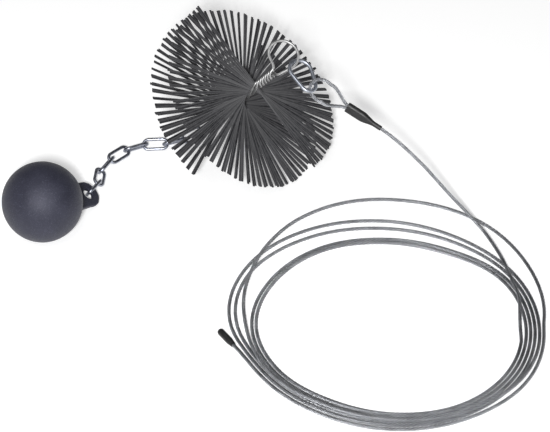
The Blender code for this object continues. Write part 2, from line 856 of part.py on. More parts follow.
def read_off(places, values, at):
    """A value from a table, along a smooth curve through its entries."""
    k = 0
    while k < len(places) - 2 and places[k + 1] < at:
        k += 1
    before = max(k - 1, 0)
    after = min(k + 2, len(places) - 1)
    span = places[k + 1] - places[k]
    rise = span * (values[k + 1] - values[before]) / (places[k + 1] - places[before])
    fall = span * (values[after] - values[k]) / (places[after] - places[k])
    t = (at - places[k]) / span
    start = (2 * t**3 - 3 * t**2 + 1) * values[k] + (t**3 - 2 * t**2 + t) * rise
    return start + (3 * t**2 - 2 * t**3) * values[k + 1] + (t**3 - t**2) * fall


def ramp(low, high, at):
    t = max(0, min(1, (at - low) / (high - low)))
    return t * t * (3 - 2 * t)


def coil_point(hour):
    """A point of the coil, twelve hours to the loop."""
    loop = min(int(hour / 12), len(coil_fan_shares) - 1)
    on_dial = hour - 12 * loop
    dial = list(range(-1, 14))
    inner = [coil_radius * share for share in coil_radius_shares]
    step = [rope_diameter * share for share in coil_step_shares]
    inner = [inner[-1] - step[-1]] + inner + [inner[0] + step[0], inner[1] + step[1]]
    step = step[-1:] + step + step[:2]
    radius = read_off(dial, inner, on_dial) + loop * read_off(dial, step, on_dial)
    radius += coil_radius * read_off(fan_hours, coil_fan_shares[loop], on_dial)
    up = ramp(ride_hours[0], ride_hours[1], hour) - ramp(ride_hours[2], ride_hours[3], hour)
    flat = polar(radius, -math.radians(30 * hour))
    height = rope_diameter / 2 + ride_height * up
    return Vector((coil_centre[0] + flat.x, coil_centre[1] + flat.y, height))


def coil_path():
    count = round(coil_turns * loop_points)
    hours = [coil_start_hour + 12 * i / loop_points for i in range(count + 1)]
    points = [coil_point(hour) for hour in hours]
    run = (points[-1] - points[-2]).normalized()
    tail = points[-1] + coil_tail * run
    tail.z = end_sleeve_diameter / 2
    last = tail + end_sleeve_length * run
    before = coil_point(coil_start_hour - 12 / loop_points)
    first = points[0] + rope_diameter * (before - points[0]).normalized()
    return [first] + points + [tail, last]


def least_gap(points, diameter):
    """The least gap of a coil to itself, away from its own neighbouring stretch."""
    apart = round(loop_points / 2)
    least = math.inf
    for i in range(len(points) - 1):
        for j in range(i + apart, len(points) - 1):
            for a in (0.0, 0.25, 0.5, 0.75):
                p = points[i].lerp(points[i + 1], a)
                line = points[j + 1] - points[j]
                t = max(0, min(1, (p - points[j]).dot(line) / line.length_squared))
                least = min(least, (points[j] + t * line - p).length)
    return least - diameter


def make_coil(parent):
    points = coil_path()
    print(f"rope coil, least gap to itself {1000 * least_gap(points, rope_diameter):.2f} mm")
    coil = wire("rope_coil", points, rope_diameter, 1)
    finish(coil, "rope_steel", rope_steel, Matrix.Identity(4), parent)
    return points


def make_lead(start, direction, coil_points, parent):
    """The rope from the ferrule through the sleeve, over the coil and into its first turn."""
    inside = rope_eye_length + ferrule_length + gap
    apart = Vector((0, 0, leg_offset))
    out = sleeve_length - sleeve_lap + rope_eye_length
    legs = [start @ (Vector((inside, 0, 0)) + apart)]
    legs.append(start @ (Vector((inside + rope_diameter / 2, 0, 0)) + apart))
    legs.append(start @ Vector((inside + sleeve_taper, 0, 0)))
    legs.append(start @ Vector((out, 0, 0)))
    run = (coil_points[1] - coil_points[0]).normalized()
    goal = coil_points[0] - gap * run
    route = [legs[-1].copy()]
    for share in lead_route_shares:
        step = Vector([share[i] * (goal[i] - legs[-1][i]) for i in range(3)])
        route.append(legs[-1] + step)
    route.append(goal - rope_diameter * run)
    free = smooth_route(route, lead_points)
    points = legs[:-1] + free + [goal]
    lead = wire("rope_lead", points, rope_diameter)
    finish(lead, "rope_steel", rope_steel, Matrix.Identity(4), parent)
    return points


def make_end_sleeve(coil_points, parent):
    """A closed cap over the end of the rope."""
    tip = coil_points[-1]
    run = (coil_points[-1] - coil_points[-2]).normalized()
    outer = end_sleeve_diameter / 2
    inner = rope_diameter / 2 + gap
    top = gap + end_sleeve_length - end_sleeve_grip
    profile = [(0, top)]
    for i in range(1, 6):
        a = math.pi / 2 * (1 - i / 6)
        profile.append((outer * math.cos(a), top - outer + outer * math.sin(a)))
    profile += [(outer, -end_sleeve_grip / 2), (inner + sleeve_wall, -end_sleeve_grip)]
    profile += [(inner, -end_sleeve_grip), (inner, gap), (0, gap)]
    cap = turned("end_sleeve", profile, 16)
    finish(smooth(cap), "black_plastic", black_plastic, hinge_frame(tip, run), parent)


# Assembly

make_ball()
places = link_places()
last_joint = make_chain(places)
near, far, along, across = places[-1]

pull = (along + brush_axis).normalized()
lower_tip = far - ((link_wire + core_wire) / 2 + eye_play) * pull
level = level_side(brush_axis)
brush_place = frame(lower_tip, level, brush_axis.cross(level))
brush_joint = joint_empty("hinge_brush", hinge_frame(far, across), last_joint)
eye_middle, eye_up, eye_side = make_core(brush_place, brush_joint)
make_bristles(brush_place, brush_joint)

seat = math.radians(hook_seat_deg)
seat_out = math.cos(seat) * eye_up + math.sin(seat) * eye_side
seat_along = -math.sin(seat) * eye_up + math.cos(seat) * eye_side
turn_only = brush_place.to_3x3()
hook_seat = brush_place @ (eye_middle + eye_radius * seat_out)
hook_axis = turn_only @ seat_along
hook_down = heading(hook_azimuth_deg, -hook_dip_deg)
hook_right = rolled(hook_down, 90 + hook_roll_deg)
touch = wide_radius - (hook_wire + core_wire) / 2 - hook_play
hook_touch = Vector((0, wide_middle, 0)) + touch * polar(1, math.radians(hook_touch_deg))
hook_place = frame(hook_seat, hook_right, -hook_down) @ Matrix.Translation(-hook_touch)
hook_joint = joint_empty("hinge_hook", hinge_frame(hook_seat, hook_axis), brush_joint)
gate_pivot = hook_place @ on_gate_line(hinge_height)
hook_normal = hook_place.to_3x3() @ Vector((0, 0, 1))
gate_joint = joint_empty("hinge_gate", hinge_frame(gate_pivot, hook_normal), hook_joint)
make_hook(hook_place, hook_joint, gate_joint)

rope_side = polar(1, math.radians(rope_seat_deg))
rope_clear = narrow_radius - (hook_wire + rope_diameter) / 2 - rope_play
rope_seat = hook_place @ (Vector((0, narrow_middle, 0)) + rope_clear * rope_side)
rope_pivot = hook_place @ (Vector((0, narrow_middle, 0)) + narrow_radius * rope_side)
rope_axis = hook_place.to_3x3() @ rope_side.cross(Vector((0, 0, 1)))
rope_run = heading(rope_azimuth_deg, -rope_dip_deg)
rope_place = frame(rope_seat, rope_run, rolled(rope_run, rope_roll_deg).cross(rope_run))
rope_joint = joint_empty("hinge_rope", hinge_frame(rope_pivot, rope_axis), hook_joint)
make_rope_eye(rope_place, rope_joint)
make_ferrule(rope_place, rope_joint)
make_sleeve(rope_place, rope_joint)
coil_points = make_coil(rope_joint)
make_lead(rope_place, rope_run, coil_points, rope_joint)
make_end_sleeve(coil_points, rope_joint)
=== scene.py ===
# %% [markdown]
# # A chimney sweep's brush, dressed for its picture
#
# The set has five things tied in a row: a cast iron ball, a chain, a round brush of flat steel
# strips, a snap hook, and a steel wire rope that lies in a coil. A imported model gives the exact
# places and sizes. This file adds what the eye needs: strands in the rope, welds on the links,
# thin strips in the brush, and a finish for each metal.
#
# Cells marked markdown explain the next step. Every length is in metres.

# %% Load the model that everything is fitted to
import math

import bmesh
import bpy
from mathutils import Matrix, Vector, noise


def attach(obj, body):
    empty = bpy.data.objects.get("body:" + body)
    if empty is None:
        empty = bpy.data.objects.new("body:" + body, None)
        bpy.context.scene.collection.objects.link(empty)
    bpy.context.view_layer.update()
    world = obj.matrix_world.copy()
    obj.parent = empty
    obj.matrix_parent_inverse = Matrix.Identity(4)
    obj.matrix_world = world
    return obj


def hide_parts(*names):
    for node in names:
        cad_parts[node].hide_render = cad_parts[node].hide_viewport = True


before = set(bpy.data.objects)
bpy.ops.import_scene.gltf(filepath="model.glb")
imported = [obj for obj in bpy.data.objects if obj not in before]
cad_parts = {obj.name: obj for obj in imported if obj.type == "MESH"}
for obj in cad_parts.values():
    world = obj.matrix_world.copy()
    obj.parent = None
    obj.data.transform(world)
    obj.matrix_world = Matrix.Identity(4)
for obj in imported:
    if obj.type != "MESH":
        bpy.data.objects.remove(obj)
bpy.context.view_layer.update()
scene = bpy.context.scene
print("nodes in the model:", len(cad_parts))

# %% [markdown]
# ## Helpers for directions and places
#
# The rope, the links and the wires are all placed by a direction: an azimuth on the floor, a rise
# above it and a roll. These few functions turn such angles into vectors and into placements, and
# draw the smooth lines between them.

# %% Directions, placements and smooth lines


def heading(azimuth_deg, rise_deg):
    azimuth = math.radians(azimuth_deg)
    rise = math.radians(rise_deg)
    level = math.cos(rise)
    return Vector((level * math.cos(azimuth), level * math.sin(azimuth), math.sin(rise)))


def level_side(direction):
    return Vector((0, 0, 1)).cross(direction).normalized()


def rolled(direction, roll_deg):
    side = level_side(direction)
    roll = math.radians(roll_deg)
    return math.cos(roll) * direction.cross(side) + math.sin(roll) * side


def placement(origin, x_axis, y_axis):
    x = Vector(x_axis).normalized()
    z = x.cross(Vector(y_axis)).normalized()
    turn = Matrix((x, z.cross(x), z)).transposed().to_4x4()
    return Matrix.Translation(origin) @ turn


def polar(radius, angle):
    return Vector((radius * math.cos(angle), radius * math.sin(angle), 0))


def round_angles(count, shift=0.0):
    """Evenly spaced angles, once round."""
    return [2 * math.pi * (k + shift) / count for k in range(count)]


def arc(centre, radius, start, end, count):
    steps = [start + (end - start) * i / (count - 1) for i in range(count)]
    return [centre + polar(radius, a) for a in steps]


def smooth_step(low, high, at):
    """From 0 at low to 1 at high, level at both ends."""
    t = max(0, min(1, (at - low) / (high - low)))
    return t * t * (3 - 2 * t)


def hermite_weights(t):
    """Weights of a start, the tangent there, an end and the tangent there."""
    return 2 * t**3 - 3 * t**2 + 1, t**3 - 2 * t**2 + t, 3 * t**2 - 2 * t**3, t**3 - t**2


def hermite(start, start_tangent, end, end_tangent, count):
    """Points strictly between two ends of a smooth bend."""
    points = []
    for i in range(1, count):
        a, b, c, d = hermite_weights(i / count)
        points.append(a * start + b * start_tangent + c * end + d * end_tangent)
    return points


def length_of(points):
    return sum((b - a).length for a, b in zip(points, points[1:]))


def in_scene(name, data):
    """A new object in the scene."""
    made = bpy.data.objects.new(name, data)
    scene.collection.objects.link(made)
    return made


# %% [markdown]
# ## Camera
#
# The set was photographed from well above, with a long lens, so parallel edges stay nearly
# parallel. A camera 2.6 m away looks down by 42 degrees, and one picture point shows about one
# millimetre. Its lens follows from those two facts and from the 36 mm sensor.

# %% Camera
look_at = Vector((0.22876, 0.02283, 0.0))
camera_distance = 2.6
look_down = math.radians(42)
picture_width = 0.550
sensor_width_mm = 36

camera_data = bpy.data.cameras.new("camera")
camera_data.sensor_width = sensor_width_mm
camera_data.lens = sensor_width_mm * camera_distance / picture_width
camera = in_scene("camera", camera_data)
backwards = Vector((0, -math.cos(look_down), math.sin(look_down)))
camera.location = look_at + camera_distance * backwards
camera.rotation_euler = (math.radians(90) - look_down, 0, 0)
scene.camera = camera
print("lens", round(camera_data.lens, 1), "mm")

# %% [markdown]
# ## Building node trees in code
#
# Materials and Geometry Nodes are both set out here in the script. The class below keeps that
# readable: it adds a node, sets its plain values, and links its inputs in one call.

# %% A small kit for node trees


class Nodes:
    """What adds nodes to a tree."""

    def __init__(self, tree):
        self.tree = tree

    def link(self, source, node, key):
        self.tree.links.new(source, node.inputs[key])

    def add(self, kind, links=(), **settings):
        """A node, its settings, and its links or values by input name or number."""
        node = self.tree.nodes.new(kind)
        for name, value in settings.items():
            setattr(node, name, value)
        for key, source in dict(links).items():
            if isinstance(source, bpy.types.NodeSocket):
                self.link(source, node, key)
            else:
                node.inputs[key].default_value = source
        return node

    def out(self, kind, links=(), **settings):
        """The first output of a new node."""
        return self.add(kind, links, **settings).outputs[0]

    def math(self, operation, *values):
        return self.out("ShaderNodeMath", dict(enumerate(values)), operation=operation)

    def combine(self, **parts):
        return self.out("ShaderNodeCombineXYZ", parts)

    def split(self, vector):
        return self.add("ShaderNodeSeparateXYZ", {0: vector}).outputs

    def remap(self, value, low, high):
        """A value from low to high brought to 0 to 1."""
        return self.out("ShaderNodeMapRange", {"Value": value, "From Min": low, "From Max": high})

    def between(self, share, first, second):
        """The number at a share of the way from a first to a second one."""
        return self.out("ShaderNodeMapRange", {"Value": share, "To Min": first, "To Max": second})


# %% [markdown]
# ## Floor, lamps and a white surround
#
# The set lies on a pale sheet. The main lamp stands close to the camera, a little lower and to the
# left, so nearly every shadow hides behind what casts it, and a thin soft rim of it shows on the
# upper right. A wide lamp above fills in, and the room stays dark. So a wire that runs across the
# view catches the light, and one that runs away from the camera turns dark.
#
# The sheet also glows for the camera and for reflections only, which keeps it white.

# %% Floor and lamps


def make_floor(half_size, white, glow):
    mesh = bpy.data.meshes.new("floor")
    corners = [(x * half_size, y * half_size, 0) for x, y in ((-1, -1), (1, -1), (1, 1), (-1, 1))]
    mesh.from_pydata(corners, [], [(0, 1, 2, 3)])
    paper = bpy.data.materials.new("white_sheet")
    paper.use_nodes = True
    paper.node_tree.nodes.clear()
    kit = Nodes(paper.node_tree)
    path = kit.add("ShaderNodeLightPath").outputs
    seen = kit.math("MAXIMUM", path["Is Camera Ray"], path["Is Glossy Ray"])
    seen = kit.math("MAXIMUM", seen, path["Is Transmission Ray"])
    matt = kit.out("ShaderNodeBsdfDiffuse", {"Color": (white, white, white, 1)})
    lit = kit.out("ShaderNodeEmission", {"Strength": kit.math("MULTIPLY", seen, glow)})
    both = kit.out("ShaderNodeAddShader", {0: matt, 1: lit})
    kit.add("ShaderNodeOutputMaterial", {"Surface": both})
    mesh.materials.append(paper)
    floor = in_scene("floor", mesh)


def make_lamp(name, place, target, size, watts):
    data = bpy.data.lights.new(name, "AREA")
    data.shape = "RECTANGLE"
    data.size, data.size_y = size
    data.energy = watts
    lamp = in_scene(name, data)
    lamp.location = place
    aim = Vector(target) - Vector(place)
    lamp.rotation_euler = aim.to_track_quat("-Z", "Y").to_euler()


make_floor(half_size=6.0, white=0.90, glow=0.32)
middle = (0.23, -0.02, 0.0)
make_lamp("beside_camera", (0.08, -2.03, 1.68), middle, (0.24, 0.24), 68)
make_lamp("overhead", (-0.30, -0.70, 1.80), middle, (1.4, 1.0), 8)

world = bpy.data.worlds.new("studio")
world.use_nodes = True
scene.world = world
surround = world.node_tree.nodes["Background"]
surround.inputs["Color"].default_value = (1, 1, 1, 1)
surround.inputs["Strength"].default_value = 0.16
scene.view_settings.view_transform = "Standard"

# %% [markdown]
# ## Shared effects for the finishes
#
# Real metal is never one flat colour. Three effects come back on the pieces here: slow patches
# where zinc or oil lies thicker, fine specks, and long streaks along a rolled strip. Each is a node
# group that gives a mask, and the first two give a height too. Each material uses them with its own
# values.

# %% Node groups for patches, specks and streaks


def new_group(name, inputs, outputs):
    """A kit for a new group, the group's inputs, and the node that takes its outputs."""
    kit = Nodes(bpy.data.node_groups.new(name, "ShaderNodeTree"))
    sockets = [(label, "INPUT", kind) for label, kind in inputs.items()]
    sockets += [(label, "OUTPUT", "NodeSocketFloat") for label in outputs]
    for label, way, kind in sockets:
        kit.tree.interface.new_socket(label, in_out=way, socket_type=kind)
    return kit, kit.add("NodeGroupInput").outputs, kit.add("NodeGroupOutput")


def noise_group(name, detail, roughness, low, high):
    """A noise as a height, and a mask that rises from its low to its high value."""
    inputs = {"Vector": "NodeSocketVector", "Scale": "NodeSocketFloat"}
    kit, entry, leave = new_group(name, inputs, ("Mask", "Height"))
    into = {
        "Vector": entry["Vector"],
        "Scale": entry["Scale"],
        "Detail": detail,
        "Roughness": roughness,
    }
    height = kit.add("ShaderNodeTexNoise", into).outputs["Fac"]
    kit.link(kit.remap(height, low, high), leave, "Mask")
    kit.link(height, leave, "Height")
    return kit.tree


def streak_group(along_scale, around_scale):
    """Long streaks: slow along the piece and quick from one piece to the next."""
    inputs = {"Along": "NodeSocketFloat", "Around": "NodeSocketFloat"}
    kit, entry, leave = new_group("streaks", inputs, ("Mask",))
    slow = kit.math("MULTIPLY", entry["Along"], along_scale)
    quick = kit.math("MULTIPLY", entry["Around"], around_scale)
    into = {"Vector": kit.combine(X=slow, Y=quick), "Scale": 3, "Detail": 3}
    lines = kit.add("ShaderNodeTexNoise", into).outputs["Fac"]
    kit.link(kit.remap(lines, 0.35, 0.65), leave, "Mask")
    return kit.tree


patches = noise_group("patches", detail=5, roughness=0.6, low=0.32, high=0.68)
specks = noise_group("specks", detail=3, roughness=0.7, low=0.58, high=0.72)
streaks = streak_group(along_scale=60, around_scale=9)

# %% [markdown]
# ## Materials
#
# Each material starts as a Principled shader with the constants of its metal or plastic. A mask
# then mixes two nearby colours and two roughness values, and a bump gives the surface its tooth.
# One recipe does that for all of them but the strips, whose steel has its own.

# %% One recipe for the finishes


class Finish(Nodes):
    """A material with one Principled shader."""

    def __init__(self, name, metallic):
        self.material = bpy.data.materials.new(name)
        self.material.use_nodes = True
        super().__init__(self.material.node_tree)
        self.shader = self.tree.nodes["Principled BSDF"]
        self.shader.inputs["Metallic"].default_value = metallic

    def group(self, group, **into):
        """The outputs of a shared effect."""
        return self.add("ShaderNodeGroup", into, node_tree=group).outputs

    def attribute(self, name):
        return self.add("ShaderNodeAttribute", attribute_name=name).outputs["Fac"]

    def mixed(self, share, first, second):
        """Two colours mixed. Each is three numbers or a socket."""
        into = {0: share}
        for slot, colour in ((6, first), (7, second)):
            is_socket = isinstance(colour, bpy.types.NodeSocket)
            into[slot] = colour if is_socket else (*colour, 1)
        return self.add("ShaderNodeMix", into, data_type="RGBA").outputs[2]

    def tint(self, share, colour):
        """Mixes one more colour over what the shader has."""
        below = self.shader.inputs["Base Color"].links[0].from_socket
        self.link(self.mixed(share, below, colour), self.shader, "Base Color")

    def bump(self, height, distance, strength):
        into = {"Height": height, "Distance": distance, "Strength": strength}
        bumped = self.add("ShaderNodeBump", into).outputs["Normal"]
        self.link(bumped, self.shader, "Normal")


def finish(name, metallic, colours, roughness, patch_scale, speck_scale=900, bump=0.00004):
    """Two nearby colours in patches over the piece, and specks in its surface."""
    made = Finish(name, metallic)
    place = made.add("ShaderNodeTexCoord").outputs["Object"]
    mask = made.group(patches, Vector=place, Scale=patch_scale)["Mask"]
    made.link(made.mixed(mask, *colours), made.shader, "Base Color")
    made.link(made.between(mask, *roughness), made.shader, "Roughness")
    if bump:
        grains = made.group(specks, Vector=place, Scale=speck_scale)["Height"]
        made.bump(grains, bump, 1.0)
    return made


chain_steel = finish(
    "chain_steel",
    metallic=1.0,
    colours=((0.22, 0.23, 0.27), (0.38, 0.40, 0.46)),
    roughness=(0.24, 0.42),
    patch_scale=180,
    bump=0.00003,
).material
core_zinc = finish(
    "core_zinc",
    metallic=1.0,
    colours=((0.34, 0.34, 0.34), (0.52, 0.52, 0.52)),
    roughness=(0.42, 0.58),
    patch_scale=220,
    bump=0.00003,
).material
hook_zinc = finish(
    "hook_zinc",
    metallic=1.0,
    colours=((0.32, 0.34, 0.39), (0.50, 0.53, 0.59)),
    roughness=(0.34, 0.50),
    patch_scale=150,
    bump=0.00002,
).material
ferrule_alloy = finish(
    "ferrule_alloy",
    metallic=1.0,
    colours=((0.55, 0.55, 0.55), (0.66, 0.66, 0.66)),
    roughness=(0.30, 0.42),
    patch_scale=200,
).material
black_tube = finish(
    "black_tube",
    metallic=0.0,
    colours=((0.006, 0.006, 0.006), (0.016, 0.016, 0.017)),
    roughness=(0.38, 0.55),
    patch_scale=160,
    speck_scale=500,
    bump=0.00006,
).material

# %% [markdown]
# ### Cast iron under paint
#
# The ball is cast in sand and then dipped in a thin blue grey paint. The sand leaves a fine orange
# peel, so its bump is stronger than the others'. A second, finer set of specks is painted paler all
# over: painted glints, for the single grains that sparkle where light strikes.

# %% Painted casting
casting = finish(
    "cast_paint",
    metallic=0.30,
    colours=((0.024, 0.025, 0.042), (0.038, 0.039, 0.061)),
    roughness=(0.46, 0.60),
    patch_scale=45,
    speck_scale=950,
    bump=0.00034,
)
place = casting.add("ShaderNodeTexCoord").outputs["Object"]
# Painted glints: fine specks painted paler, for grains catching the light.
painted_glint_specks = casting.group(specks, Vector=place, Scale=1150)["Mask"]
casting.tint(casting.between(painted_glint_specks, 0.0, 0.60), (0.17, 0.18, 0.25))
cast_paint = casting.material

# %% [markdown]
# ### Spring steel strips
#
# The strips are cut from dark steel ribbon. Every strip has a slightly different tone. Each is
# painted paler near the core and darker towards its tip: painted light, for the brighter overlap of
# strips round the core. Its rolled surface has streaks along it. Its sheared edges are painted
# paler than its faces, partly for the cut steel and partly as a painted highlight along the edges.
# The brush's node tree stores three numbers for this: `along`, the distance from the core, `side`,
# from
# -1 to 1 across the strip, and `shade`, one random number for the whole strip.

# %% Strip steel
steel = Finish("strip_steel", metallic=0.25)
steel.shader.inputs["Specular IOR Level"].default_value = 0.30
shade = steel.attribute("shade")
along = steel.attribute("along")
# Painted light: strips are paler near the core and darker towards the tip.
painted_light_near_core = steel.mixed(shade, (0.016, 0.016, 0.019), (0.170, 0.170, 0.174))
near_tip = steel.mixed(shade, (0.009, 0.009, 0.012), (0.066, 0.066, 0.071))
painted_light_falloff = steel.remap(along, 0.012, 0.060)
steel.link(steel.mixed(painted_light_falloff, painted_light_near_core, near_tip), steel.shader, "Base Color")
rolled_lines = steel.group(streaks, Along=along, Around=shade)["Mask"]
steel.tint(steel.between(rolled_lines, 0.0, 0.35), (0.12, 0.12, 0.125))
# Paler edges: partly the cut steel, partly a painted highlight along each edge.
sheared_and_highlit_edges = steel.remap(steel.math("ABSOLUTE", steel.attribute("side")), 0.55, 0.95)
steel.tint(steel.between(sheared_and_highlit_edges, 0.0, 0.55), (0.22, 0.22, 0.23))
steel.link(steel.between(shade, 0.40, 0.58), steel.shader, "Roughness")
strip_steel = steel.material

# %% [markdown]
# ### Wire rope
#
# Six strands of thin galvanised wires are laid round a core. The strands are real shape in the
# mesh. The single wires are too thin for that, so they are a bump: fine ridges that run across
# each strand on the slant. The grooves between strands are painted darker, partly for dirt and
# partly as painted shade in the hollows. The tree stores `along`, the distance down the rope, and
# `across`, the place across one strand from -0.5 to 0.5.

# %% Rope steel
wires_per_strand = 7
wire_slant = 300
laid_zinc = finish(
    "rope_zinc",
    metallic=1.0,
    colours=((0.40, 0.41, 0.43), (0.56, 0.57, 0.60)),
    roughness=(0.34, 0.50),
    patch_scale=90,
    bump=0,
)
across = laid_zinc.attribute("across")
slanted = laid_zinc.math("MULTIPLY", laid_zinc.attribute("along"), wire_slant)
wires = laid_zinc.math("MULTIPLY_ADD", across, wires_per_strand, slanted)
ridge = laid_zinc.math("SINE", laid_zinc.math("MULTIPLY", wires, 2 * math.pi))
laid_zinc.bump(ridge, 0.00006, 0.9)
# Grooves between strands painted darker: dirt, and painted shade in the hollows.
groove_dirt_and_shade = laid_zinc.remap(laid_zinc.math("ABSOLUTE", across), 0.22, 0.46)
laid_zinc.tint(laid_zinc.between(groove_dirt_and_shade, 0.0, 0.85), (0.045, 0.047, 0.055))
rope_zinc = laid_zinc.material

# %% [markdown]
# ## Meshes from rings
#
# Wires, sleeves and turned pieces are all rings of points with faces between them. One function
# makes such a skin and closes its ends. Another walks a ring along a path. It carries its frame
# along with the least turning, so the skin never twists at a bend.

# %% Skins, tubes and placing


def as_mesh(name, work):
    """A mesh from bmesh work, which is freed."""
    mesh = bpy.data.meshes.new(name)
    work.to_mesh(mesh)
    work.free()
    return mesh


def paint(mesh, look):
    """Gives a mesh one material."""
    mesh.materials.clear()
    mesh.materials.append(look)


def skin(name, rings, look, closed_loop=False):
    """A closed skin over rings of points, from the first to the last."""
    work = bmesh.new()
    rows = [[work.verts.new(p) for p in ring] for ring in rings]
    pairs = list(zip(rows, rows[1:]))
    if closed_loop:
        pairs.append((rows[-1], rows[0]))
    for low, high in pairs:
        for i in range(len(low)):
            j = (i + 1) % len(low)
            work.faces.new((low[i], low[j], high[j], high[i]))
    if not closed_loop:
        work.faces.new(rows[0][::-1])
        work.faces.new(rows[-1])
    bmesh.ops.recalc_face_normals(work, faces=work.faces)
    mesh = as_mesh(name, work)
    mesh.shade_smooth()
    mesh.set_sharp_from_angle(angle=math.radians(40))
    paint(mesh, look)
    return in_scene(name, mesh)


def ring_round(centre, side, up, radius, sides):
    return [centre + radius * (math.cos(a) * side + math.sin(a) * up) for a in round_angles(sides)]


def carried_frames(points):
    """Two cross directions at each point of a path, turned as little as possible."""
    last = len(points) - 1
    frames = []
    normal = None
    for i in range(last + 1):
        tangent = (points[min(i + 1, last)] - points[max(i - 1, 0)]).normalized()
        if normal is None:
            normal = tangent.orthogonal()
        normal = (normal - normal.dot(tangent) * tangent).normalized()
        frames.append((normal, tangent.cross(normal)))
    return frames


def tube(name, points, diameter, look, sides=16):
    """A round wire with flat ends."""
    frames = zip(points, carried_frames(points))
    rings = [ring_round(point, side, up, diameter / 2, sides) for point, (side, up) in frames]
    return skin(name, rings, look)


def turned(name, profile, origin, axis, look, sides=32):
    """A profile of (radius, height) turned round an axis, as a closed skin."""
    side = axis.orthogonal().normalized()
    up = axis.cross(side)
    rings = [ring_round(origin + h * axis, side, up, r, sides) for r, h in profile]
    return skin(name, rings, look)


def placed(obj, place):
    """Puts a place into the mesh, so that the object itself stays at the origin."""
    obj.data.transform(place)
    return obj


def settle(obj, body, slot, *nodes):
    """The piece rides on its body and stands for its nodes of the model."""
    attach(obj, body)
    if nodes:
        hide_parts(*nodes)
    faces = sum(len(p.vertices) - 2 for p in obj.data.polygons)
    print(f"{obj.name}: {faces} triangles")
    return obj


def evaluated_copy(name, source):
    """The finished mesh of an object with its modifiers, and the object removed."""
    bpy.context.view_layer.update()
    graph = bpy.context.evaluated_depsgraph_get()
    mesh = bpy.data.meshes.new_from_object(source.evaluated_get(graph))
    bpy.data.objects.remove(source, do_unlink=True)
    mesh.name = name
    return in_scene(name, mesh)


# %% [markdown]
# ## Geometry trees
#
# The rope, the links and the strips each come from a geometry tree. A tree gets named inputs for
# its sizes, and always ends in Realize Instances and Set Material.

# %% A kit for geometry trees


class Tree(Nodes):
    """A geometry node tree with named inputs."""

    def __init__(self, name, floats, ints):
        super().__init__(bpy.data.node_groups.new(name, "GeometryNodeTree"))
        sockets = [("Geometry", "INPUT", "NodeSocketGeometry")]
        sockets += [(label, "INPUT", "NodeSocketFloat") for label in floats]
        sockets += [(label, "INPUT", "NodeSocketInt") for label in ints]
        sockets.append(("Geometry", "OUTPUT", "NodeSocketGeometry"))
        for label, way, kind in sockets:
            self.tree.interface.new_socket(label, in_out=way, socket_type=kind)
        self.entry = self.add("NodeGroupInput")
        self.leave = self.add("NodeGroupOutput")

    def value(self, label):
        return self.entry.outputs[label]

    def stored(self, geometry, name, value, domain="POINT"):
        """The geometry with a number stored on it under a name."""
        into = {"Geometry": geometry, "Name": name, "Value": value}
        kind = "GeometryNodeStoreNamedAttribute"
        return self.out(kind, into, data_type="FLOAT", domain=domain)

    def read(self, name):
        return self.out("GeometryNodeInputNamedAttribute", {"Name": name}, data_type="FLOAT")

    def random(self, low, high, salt=0, each=None):
        """A random number for each element or each value of a count, a stream for each salt."""
        into = {2: low, 3: high, 8: self.math("ADD", self.value("Seed"), salt)}
        if each is not None:
            into[7] = each
        return self.add("FunctionNodeRandomValue", into, data_type="FLOAT").outputs[1]

    def smooth(self, mesh):
        return self.out("GeometryNodeSetShadeSmooth", {"Geometry": mesh})

    def end(self, geometry, look):
        whole = self.out("GeometryNodeRealizeInstances", {"Geometry": geometry})
        painted = self.add("GeometryNodeSetMaterial", {"Geometry": whole, "Material": look})
        self.link(painted.outputs[0], self.leave, 0)

    def run(self, name, source, values):
        """The tree's result on an object, as a plain mesh object under a new name."""
        modifier = source.modifiers.new("tree", "NODES")
        modifier.node_group = self.tree
        for item in self.tree.interface.items_tree:
            if item.in_out == "INPUT" and item.name in values:
                modifier[item.identifier] = values[item.name]
        return evaluated_copy(name, source)


def blank():
    """An object with an empty mesh, to run a tree on."""
    return in_scene("blank", bpy.data.meshes.new("blank"))


# %% [markdown]
# ## Rope
#
# The rope comes first, because everything else hangs on it. It is one steel rope, 3.6 mm thick: a
# pressed eye, a lead that hangs from the hook to the floor, and a coil of nearly five and a half
# turns. The coil was not wound by a machine, so each turn has its own radius by the hour of a
# clock, as read from the picture. Three turns fan out on the left, and one stretch lies on top of
# the others.

# %% The coil's route
rope_diameter = 0.0036
clearance = 0.0003
coil_centre = (0.3382, -0.1350)
coil_radius = 0.1258
coil_start_hour = 1 / 3
coil_turns = 5.42
coil_tail = 0.015
coil_radius_shares = (
    1.0, 0.998, 0.974, 0.930, 0.917, 0.970,
    1.013, 0.996, 0.970, 0.925, 0.930, 1.014,
)
coil_step_shares = (1.17, 1.16, 1.17, 1.30, 1.33, 1.20, 1.18, 1.17, 1.17, 1.36, 1.42, 1.25)
fan_hours = (0, 1, 2, 3, 4, 5, 5.5, 6, 6.5, 7, 7.5, 8, 9, 10, 11, 12)
coil_fan_shares = (
    (0, 0, 0, 0, 0, 0, 0, 0, 0, 0, 0, 0, 0, 0, 0, 0),
    (0, 0, 0, 0, 0, 0, 0, 0, 0, 0, 0, 0, 0, 0, 0, 0),
    (0, 0, 0, 0, 0, 0, 0.023, 0.077, 0.125, 0.149, 0.135, 0.114, 0.087, 0.060, 0.008, 0),
    (0, 0, 0, 0, 0, 0, 0.025, 0.091, 0.141, 0.168, 0.175, 0.165, 0.135, 0.080, 0.012, 0),
    (
        0, 0, -0.04, -0.06, -0.07, -0.055, -0.06, -0.052,
        0.004, 0.075, 0.163, 0.248, 0.347, 0.307, 0.12, 0,
    ),
    (0, 0, -0.029, -0.034, -0.036, -0.031, -0.010, 0.02, 0.02, 0, 0, 0, 0, 0, 0, 0),
)
ride_hours = (48.1, 48.9, 56.2, 57.4)
ride_height = 0.00415
end_sleeve_length = 0.024
end_sleeve_diameter = 0.0068
end_sleeve_grip = 0.014


